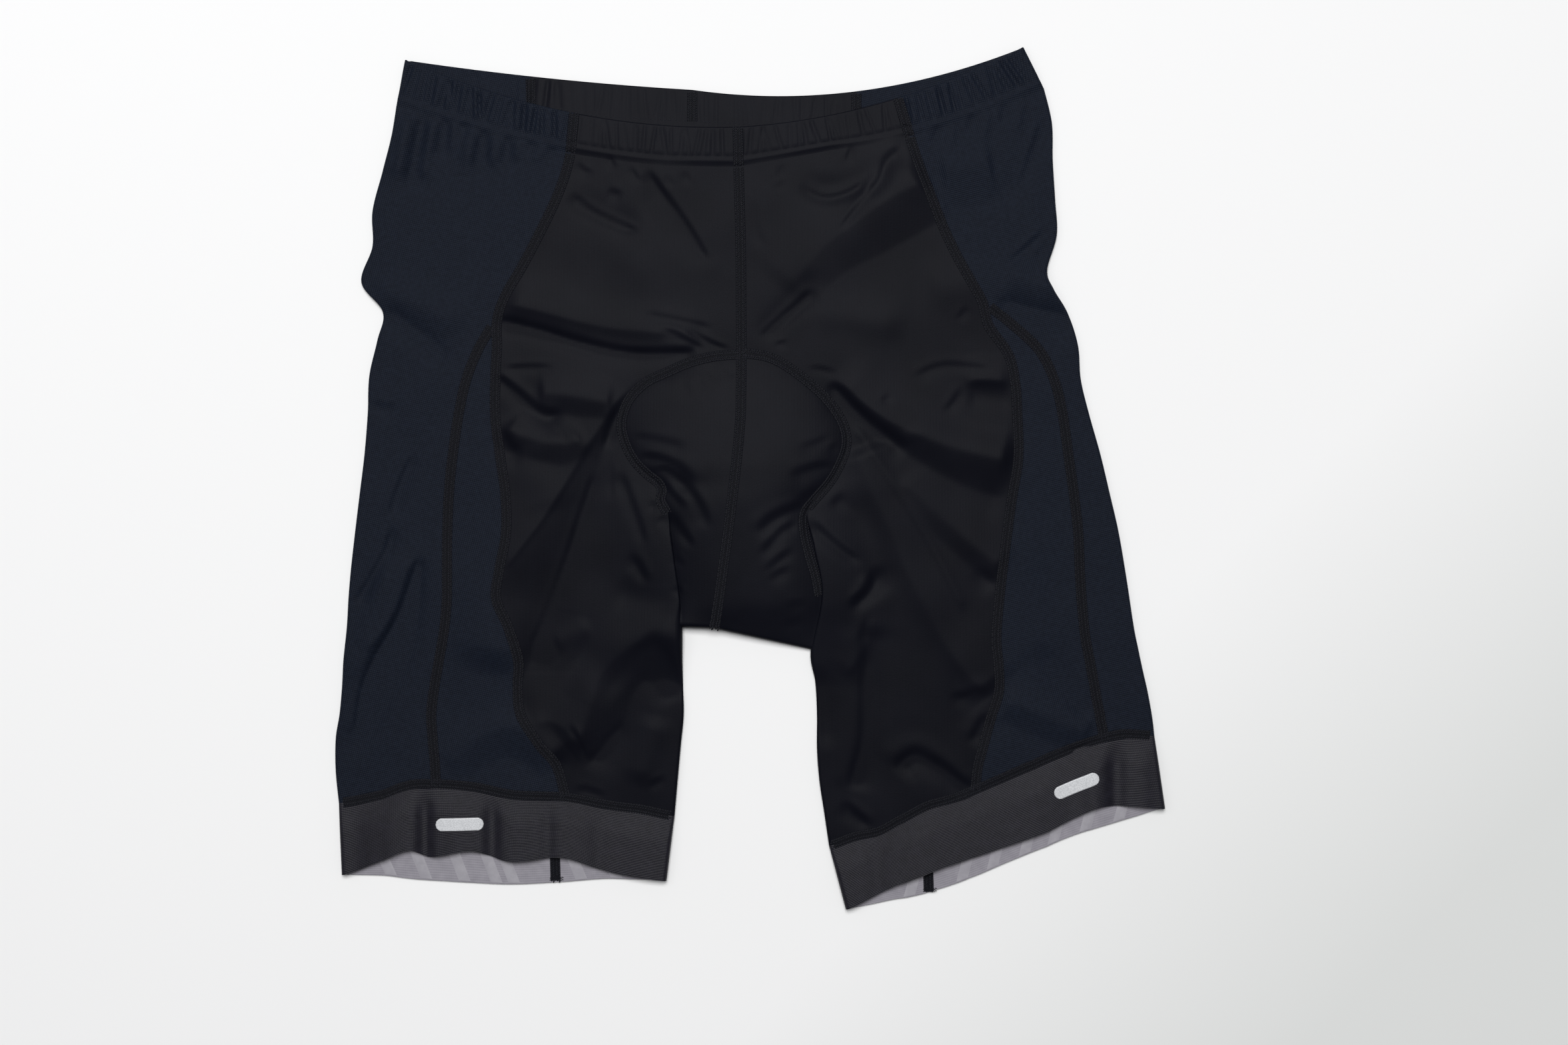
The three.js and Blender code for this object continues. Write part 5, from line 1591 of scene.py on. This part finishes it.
def casing_at(side, t, share):
    """Height of the front casing near a path whose t and share are known."""
    x, y = on_casing(side, t, share)
    height = casing_height(t, x, y, on_casing(side, 0.0, share)[0])
    if abs(x[-1] - x[0]) > abs(y[-1] - y[0]):
        order = np.argsort(x)
        return lambda px, py: np.interp(px, x[order], height[order])
    order = np.argsort(y)
    return lambda px, py: np.interp(py, y[order], height[order])


for side in OUTWARDS:
    at_seam = float(casing_share_of(side, LINES[side]["seam_x"][0]))
    share = np.linspace(*CASING_ROW_SPAN, 500)
    for number, t in enumerate(CASING_ROW_PLACES):
        path = np.stack(on_casing(side, t, share), axis=-1)
        every_t = np.full(share.shape, t)
        stitch_row(f"waist_row_{number}_{side}", path, casing_at(side, every_t, share))
    t = np.linspace(*CASING_SEAM_SPAN, 60)
    # The two halves share one seam at the centre, made with the left one.
    places = {"side": at_seam, "centre": 1.0} if side == "left" else {"side": at_seam}
    for name, share in places.items():
        every_share = np.full(t.shape, share)
        path = np.stack(on_casing(side, t, every_share), axis=-1)
        flatlock(f"waist_seam_{name}_{side}", path, casing_at(side, t, every_share))

# %% Seams of the inside that show
# Above the front lies the inside of the back casing, with its own row of stitches and the ends of
# three seams. Inside each hem the inseam's end shows, closed by a bar tack.
INSIDE_ROW = [(-119, 231.5), (-100, 227), (-69, 225), (-30, 223), (1, 221.5)]
INSIDE_SEAMS = {"left": (-137, 22), "centre": (-36, 20), "right": (66.6, 22)}
INSIDE_SEAM_TOP = 1.2
INSIDE_LIFT = 0.25
INSEAM_ENDS = {"left": [(-122.5, -216), (-122, -234), (-121.5, -251.5)],
               "right": [(111, -222), (111.5, -242), (112, -258.5)]}
TACK_WIDTH = 2.6
TACK_RISE = 0.3
TACK_ENDS = [(-3.8, 1.2), (3.8, 1.0)]
CROTCH_TACK = [(0.4, -89.5), (-0.4, -94.4)]
CROTCH_TACK_LIFT = 0.5


def inside_height(side):
    """Height of the back casing's inner face as a function of x and y."""
    return lambda x, y: inside_height_below(x, back_top_y(side, x) - y)


for name, (x, depth) in INSIDE_SEAMS.items():
    side = "right" if x > BACK_TOP_CENTRE[0] else "left"
    top_y = back_top_y(side, x)
    path = np.array([(x, top_y - INSIDE_SEAM_TOP), (x, top_y - depth)])
    flatlock(f"seam_inside_{name}", path, inside_height(side), lift=INSIDE_LIFT)
stitch_row("waist_row_inside", smooth_path(INSIDE_ROW), inside_height("left"))


def level(height):
    """A level height as a function of x and y."""
    return lambda x, y: np.full(np.shape(x), height)


lining_face = UNDER + CLOTH + LINING_GAP + LINING_WALL
for side in OUTWARDS:
    flatlock(f"seam_inseam_end_{side}", smooth_path(INSEAM_ENDS[side]), level(lining_face))
    tack = np.array(INSEAM_ENDS[side][-1]) + TACK_ENDS
    flatlock(f"seam_tack_{side}", tack, level(lining_face + TACK_RISE), width=TACK_WIDTH)


def crotch_height(x, y):
    """Height of the crotch's turned edge, from the front down to half its thickness."""
    top = front_height(x, np.maximum(y, CENTRE_Y[CROTCH] + CROTCH_RADIUS), "middle")
    reach = np.clip((CENTRE_Y[CROTCH] + CROTCH_RADIUS - y) / CROTCH_RADIUS, 0, 1)
    return UNDER + (top - UNDER) * (0.5 + 0.5 * np.sqrt(1 - reach**2))


crotch_path = np.array(CROTCH_TACK) + [CENTRE_X[CROTCH], 0]
flatlock("seam_tack_crotch", crotch_path, crotch_height, lift=CROTCH_TACK_LIFT)

# %% Seams of the underside
# The same seams hold the back together. Here they are pressed flat, because the shorts lie on them.
UNDER_LIFT = 0.06
UNDER_STITCH = 0.16
UNDER_ROW_MARGIN = 4


def under_seam(name, path, height_at=under_height):
    """A pressed flatlock seam that looks down."""
    flatlock(name, path, height_at, up=-1, lift=UNDER_LIFT, high=UNDER_STITCH)


for side in OUTWARDS:
    rows = np.linspace(0, LAST, 240)
    for name, seam_x, first in (("back", back_seam_x, 0), ("inseam", inseam_x, CROTCH)):
        kept = rows[rows >= first]
        x = seam_x(side, kept)
        y = on_line(side, kept, share_of(side, kept, x))[1]
        under_seam(f"seam_{name}_{side}", np.stack([x, y], axis=-1))
    under_seam(f"seam_band_back_{side}", across_path(side, LAST, *SEAM_SPAN), level(UNDER))
    start_x = LINES[side]["outer_x"][0] - OUTWARDS[side] * UNDER_ROW_MARGIN
    x = np.linspace(start_x, BACK_TOP_CENTRE[0], 200)
    for number, t in enumerate(CASING_ROW_PLACES):
        path = np.stack([x, mix(back_foot_y(side, x), back_top_y(side, x), t)], axis=-1)
        stitch_row(f"waist_row_back_{number}_{side}", path, level(UNDER), up=-1, high=UNDER_STITCH)
down_rows = np.linspace(0, CROTCH, 160)
centre_x = mix(BACK_TOP_CENTRE[0], CENTRE_X[CROTCH], down_rows / CROTCH)
under_seam("seam_centre_back", np.stack([centre_x, along(CENTRE_Y, down_rows)], axis=-1))

# %% [markdown]
# ## Reflective bars
# Each band has a small reflective print, which shines back in a headlamp. It is made as a bar with
# round ends, as thin as a film, that follows the band under it. A flat strip laid on top would
# float over the band's waves.

# %% Print the bars
BARS = {"left": (-181, -216), "right": (204, -192)}
BAR_HALF_LENGTH = 15
BAR_HALF_WIDTH = 4
BAR_LIFT = 0.22
BAR_RIM = -0.05
BAR_READ = 0.05
BAR_ACROSS = np.array([-1, -0.97, -0.8, -0.5, 0, 0.5, 0.8, 0.97, 1])[:, None]
BAR_ALONG = np.concatenate([[-1, -0.985], np.linspace(-0.95, 0.95, 41), [0.985, 1]])[None, :]
NEAR_ENDS = 0.99


def band_place(side, x, y):
    """t and share of a place on the band's front, found in four rounds."""
    t = 0.5
    for _ in range(4):
        start_x = band_point(side, t, 0.0, "front_y")[0]
        end_x = band_point(side, t, 1.0, "front_y")[0]
        share = (x - start_x) / (end_x - start_x)
        seam_y = band_point(side, 0.0, share, "front_y")[1]
        hem_y = band_point(side, 1.0, share, "front_y")[1]
        t = (seam_y - y) / (seam_y - hem_y)
    return t, share


def make_bar(side):
    """A thin bar with round ends on a band."""
    middle_x, middle_y = BARS[side]
    t, share = band_place(side, middle_x, middle_y)
    ahead = band_point(side, t, share + BAR_READ, "front_y")
    behind = band_point(side, t, share - BAR_READ, "front_y")
    run = np.subtract(ahead, behind)
    ux, uy = run / math.hypot(*run)
    across = BAR_ACROSS * BAR_HALF_WIDTH
    half = BAR_HALF_LENGTH - BAR_HALF_WIDTH + np.sqrt(np.maximum(BAR_HALF_WIDTH**2 - across**2, 0))
    x = middle_x + BAR_ALONG * half * ux - across * uy
    y = middle_y + BAR_ALONG * half * uy + across * ux
    t, share = band_place(side, x, y)
    rim = (np.abs(BAR_ALONG) > NEAR_ENDS) | (np.abs(BAR_ACROSS) > NEAR_ENDS)
    z = band_height(side, t, share, x) + np.where(rim, BAR_RIM, BAR_LIFT)
    mesh = loose_mesh("bar", np.stack([x, y, z], axis=-1).reshape(-1, 3), grid_faces(*x.shape, 0))
    add_trim(f"reflective_bar_{side}", mesh)


for side in OUTWARDS:
    make_bar(side)
print("bars made:", len(BARS))

# %% [markdown]
# ## Cloth as cloth
# The waistband's cloth is cut longer than it lies, because the elastic gathers it. All of it simply
# lies, layer on layer, on the table.

# %% [markdown]
# ## Finishes
# Each finish is built from nodes: the black knit has a fine grain and a satin shine, the navy mesh
# has slanting rows of dimples, the elastic has ribs along the hem. Colours come from the photograph
# as it looks there, and patterns are in millimetres on the cloth itself.

# %% Node tools
SHEEN_ROUGHNESS = 0.3
finishes = {}


def start_finish(name):
    """The node tree and the shader of a new material, which is kept by its finish's name."""
    made = bpy.data.materials.new(name)
    made.use_nodes = True
    tree = made.node_tree
    finishes[name] = made
    print("finish:", name)
    return tree, tree.nodes["Principled BSDF"]


def add_node(tree, kind, **values):
    """A new node of a kind, with its settings."""
    made = tree.nodes.new(kind)
    for key, value in values.items():
        setattr(made, key, value)
    return made


def maths(tree, operation, first, second=None):
    """A maths node. Each input is a number or an output."""
    made = add_node(tree, "ShaderNodeMath", operation=operation)
    for socket, value in zip(made.inputs, (first, second)):
        if value is None:
            continue
        if isinstance(value, (int, float)):
            socket.default_value = value
        else:
            tree.links.new(value, socket)
    return made.outputs[0]


def noise(tree, place, size, detail=2.0):
    """Soft noise whose lumps are about size mm wide."""
    made = add_node(tree, "ShaderNodeTexNoise")
    made.inputs["Scale"].default_value = 1 / (size * MM)
    made.inputs["Detail"].default_value = detail
    tree.links.new(place, made.inputs["Vector"])
    return made.outputs["Fac"]


def two_colours(tree, factor, first, second, start=0.35, end=0.65):
    """A colour between two: the first up to start and the second from end of the factor."""
    ramp = add_node(tree, "ShaderNodeValToRGB")
    ramp.color_ramp.elements[0].position = start
    ramp.color_ramp.elements[0].color = (*first, 1)
    ramp.color_ramp.elements[1].position = end
    ramp.color_ramp.elements[1].color = (*second, 1)
    tree.links.new(factor, ramp.inputs["Fac"])
    return ramp.outputs["Color"]


def bump(tree, shader, height, depth):
    """A bump of a depth in mm."""
    made = add_node(tree, "ShaderNodeBump")
    made.inputs["Strength"].default_value = 1.0
    made.inputs["Distance"].default_value = depth * MM
    tree.links.new(height, made.inputs["Height"])
    tree.links.new(made.outputs["Normal"], shader.inputs["Normal"])


def place_of(tree, output="Object"):
    """The point on the piece in metres, or its place on the flat cloth."""
    return add_node(tree, "ShaderNodeTexCoord").outputs[output]


def parts_of(tree, vector):
    """The x, y and z of a vector."""
    made = add_node(tree, "ShaderNodeSeparateXYZ")
    tree.links.new(vector, made.inputs[0])
    return made.outputs


def scaled(tree, value, factor):
    """A value times a number."""
    return maths(tree, "MULTIPLY", value, factor)


def wave(tree, value, pitch):
    """A sine over a value in metres, with a pitch in mm."""
    return maths(tree, "SINE", scaled(tree, value, 2 * math.pi / (pitch * MM)))


def surface(shader, roughness, specular, sheen=0.0):
    """The even values of a cloth, on the shader's own sockets."""
    shader.inputs["Roughness"].default_value = roughness
    shader.inputs["Specular IOR Level"].default_value = specular
    shader.inputs["Sheen Weight"].default_value = sheen
    shader.inputs["Sheen Roughness"].default_value = SHEEN_ROUGHNESS


def colour(tree, shader, factor, first, second, start=0.35, end=0.65):
    """Gives the shader a colour between two, by a factor."""
    made = two_colours(tree, factor, first, second, start, end)
    tree.links.new(made, shader.inputs["Base Color"])


# %% Black knit
BLACK_DARK = (0.0027, 0.0030, 0.0057)
BLACK_LIGHT = (0.0041, 0.0044, 0.0077)
RIB_PITCH = 0.75


def make_black_knit():
    """Fine warp knit: hardly any pattern at this size, a little grain and a satin shine."""
    tree, shader = start_finish("black_knit")
    place = place_of(tree)
    colour(tree, shader, noise(tree, place, size=38, detail=3), BLACK_DARK, BLACK_LIGHT)
    x, _, _ = parts_of(tree, place)
    ribs = wave(tree, x, RIB_PITCH)
    grain = maths(tree, "ADD", scaled(tree, ribs, 0.25), noise(tree, place, size=0.9, detail=3))
    bump(tree, shader, grain, depth=0.05)
    surface(shader, roughness=0.48, specular=0.056)


make_black_knit()

# %% Navy mesh
NAVY_LIGHT = (0.0080, 0.0112, 0.0200)
NAVY_DARK = (0.0042, 0.0060, 0.0115)
DIMPLE_PITCH = 1.7
DIMPLE_SLANT = (0.5, 0.87)


def make_navy_mesh():
    """An open knit with slanting rows of small dimples, darker in their bottoms."""
    tree, shader = start_finish("navy_mesh")
    place = place_of(tree)
    x, y, _ = parts_of(tree, place)
    short, long = DIMPLE_SLANT
    up = maths(tree, "ADD", scaled(tree, x, short), scaled(tree, y, long))
    down = maths(tree, "SUBTRACT", scaled(tree, x, long), scaled(tree, y, short))
    dimples = maths(tree, "MULTIPLY", wave(tree, up, DIMPLE_PITCH), wave(tree, down, DIMPLE_PITCH))
    uneven = scaled(tree, noise(tree, place, size=2.2), 0.9)
    shade = maths(tree, "ADD", scaled(tree, dimples, 0.3), uneven)
    colour(tree, shader, shade, NAVY_DARK, NAVY_LIGHT, 0.15, 0.75)
    bump(tree, shader, dimples, depth=0.1)
    surface(shader, roughness=0.52, specular=0.066)


make_navy_mesh()

# %% Elastic, lining and silicone
ELASTIC_DARK = (0.0044, 0.0040, 0.0076)
ELASTIC_LIGHT = (0.0100, 0.0092, 0.0156)
LINING_LIGHT = (0.285, 0.272, 0.305)
LINING_DARK = (0.225, 0.215, 0.245)
SILICONE_DARK = (0.28, 0.27, 0.30)
SILICONE_LIGHT = (0.32, 0.31, 0.34)
UPRIGHT_PITCH = 0.6


def make_ribbed(name, light, dark, pitch, depth, roughness, specular, sheen=0.0):
    """Woven elastic: ribs along the hem, crossed by fine upright threads."""
    tree, shader = start_finish(name)
    flat = place_of(tree, "UV")
    across, deep, _ = parts_of(tree, flat)
    ribs = wave(tree, deep, pitch)
    threads = wave(tree, across, UPRIGHT_PITCH)
    weave = maths(tree, "ADD", scaled(tree, ribs, 0.6), scaled(tree, threads, 0.25))
    uneven = noise(tree, place_of(tree), size=5, detail=3)
    shade = maths(tree, "ADD", scaled(tree, weave, 0.25), uneven)
    colour(tree, shader, shade, dark, light, 0.2, 0.85)
    bump(tree, shader, weave, depth)
    surface(shader, roughness, specular, sheen)


make_ribbed(
    "gripper_elastic", ELASTIC_LIGHT, ELASTIC_DARK, pitch=1.1, depth=0.08, roughness=0.42, specular=0.2
)
make_ribbed(
    "gripper_inside",
    LINING_LIGHT,
    LINING_DARK,
    pitch=1.2,
    depth=0.06,
    roughness=0.7,
    specular=0.3,
    sheen=0.1,
)


def make_silicone():
    """Milky rubber with a soft shine."""
    tree, shader = start_finish("silicone_grip")
    place = place_of(tree)
    colour(tree, shader, noise(tree, place, size=6), SILICONE_DARK, SILICONE_LIGHT)
    bump(tree, shader, noise(tree, place, size=1.2), depth=0.04)
    surface(shader, roughness=0.45, specular=0.35)


make_silicone()

# %% Thread and reflective film
THREAD_DARK = (0.0012, 0.0014, 0.0028)
THREAD_LIGHT = (0.0050, 0.0054, 0.0085)
# The stitches' lighter colour is a painted highlight of the thread's sheen.
STITCH_HIGHLIGHT = (0.0110, 0.0115, 0.0160)
THREAD_PITCH = 1.2
FILM_DARK = (0.46, 0.47, 0.49)
FILM_LIGHT = (0.66, 0.67, 0.69)


def make_thread():
    """Black textured thread: slanting turns on the ribbon, and a lighter colour on the stitches,
    which is a painted highlight of their sheen. Of the mixing node's sockets, 0 is the factor,
    6 and 7 are the colours, and 2 is the result."""
    tree, shader = start_finish("seam_thread")
    flat = place_of(tree, "UV")
    walked, beside, _ = parts_of(tree, flat)
    one = wave(tree, maths(tree, "ADD", walked, beside), THREAD_PITCH)
    other = wave(tree, maths(tree, "SUBTRACT", walked, beside), THREAD_PITCH)
    turns = maths(tree, "MAXIMUM", one, other)
    shade = maths(tree, "ADD", scaled(tree, turns, 0.3), noise(tree, place_of(tree), size=0.8))
    turned = two_colours(tree, shade, THREAD_DARK, THREAD_LIGHT, 0.2, 0.9)
    # The beads, found by their place on the flat thread, get the painted highlight.
    highlighted_beads = maths(tree, "GREATER_THAN", beside, BEAD_PLACE * MM / 2)
    mixed = add_node(tree, "ShaderNodeMix", data_type="RGBA")
    tree.links.new(highlighted_beads, mixed.inputs[0])
    tree.links.new(turned, mixed.inputs[6])
    mixed.inputs[7].default_value = (*STITCH_HIGHLIGHT, 1)
    tree.links.new(mixed.outputs[2], shader.inputs["Base Color"])
    bump(tree, shader, turns, depth=0.12)
    surface(shader, roughness=0.45, specular=0.12)


make_thread()


def make_reflective():
    """Silver reflective film: pale grey, with a fine sparkle of glass beads."""
    tree, shader = start_finish("reflective_tab")
    place = place_of(tree)
    sparkle = noise(tree, place, size=0.5, detail=1)
    colour(tree, shader, sparkle, FILM_DARK, FILM_LIGHT)
    bump(tree, shader, sparkle, depth=0.02)
    surface(shader, roughness=0.4, specular=0.5)


make_reflective()

# %% Paper for the floor
PAPER_LIGHT = (0.88, 0.88, 0.88)
# The grey is painted shade: the light's fall-off towards the lower right, painted into the paper.
PAPER_PAINTED_SHADE = (0.72, 0.73, 0.72)


def make_paper():
    """Nearly white matt paper, a little greyer towards the lower right: painted shade where the light falls
    off.
    """
    tree, shader = start_finish("paper")
    place = place_of(tree)
    x, y, _ = parts_of(tree, place)
    # Painted shade: the paper greys towards the lower right, with a faint soft unevenness.
    towards = maths(tree, "SUBTRACT", x, y)
    painted_shade = maths(tree, "ADD", towards, scaled(tree, noise(tree, place, size=400), 0.03))
    colour(tree, shader, painted_shade, PAPER_LIGHT, PAPER_PAINTED_SHADE, 0.36, 0.72)
    surface(shader, roughness=0.9, specular=0.2)


make_paper()

# %% Put the finishes on
for made in list(bpy.data.objects):
    if made.type != "MESH":
        continue
    kind = made.name.rsplit("_", 1)[0]
    if made.name == "floor":
        finish = "paper"
    elif kind in PIECE_FINISH:
        finish = PIECE_FINISH[kind]
    elif kind == "band_lining":
        finish = "gripper_inside"
    elif kind == "silicone":
        finish = "silicone_grip"
    elif made.name.startswith("reflective"):
        finish = "reflective_tab"
    elif made.name.startswith(("seam", "pad", "waist")):
        finish = "seam_thread"
    else:
        continue
    made.data.materials.clear()
    made.data.materials.append(finishes[finish])
print("finishes:", len(finishes))
# The colours are shown as they are given, without a film's curve.
bpy.context.scene.view_settings.view_transform = "Standard"
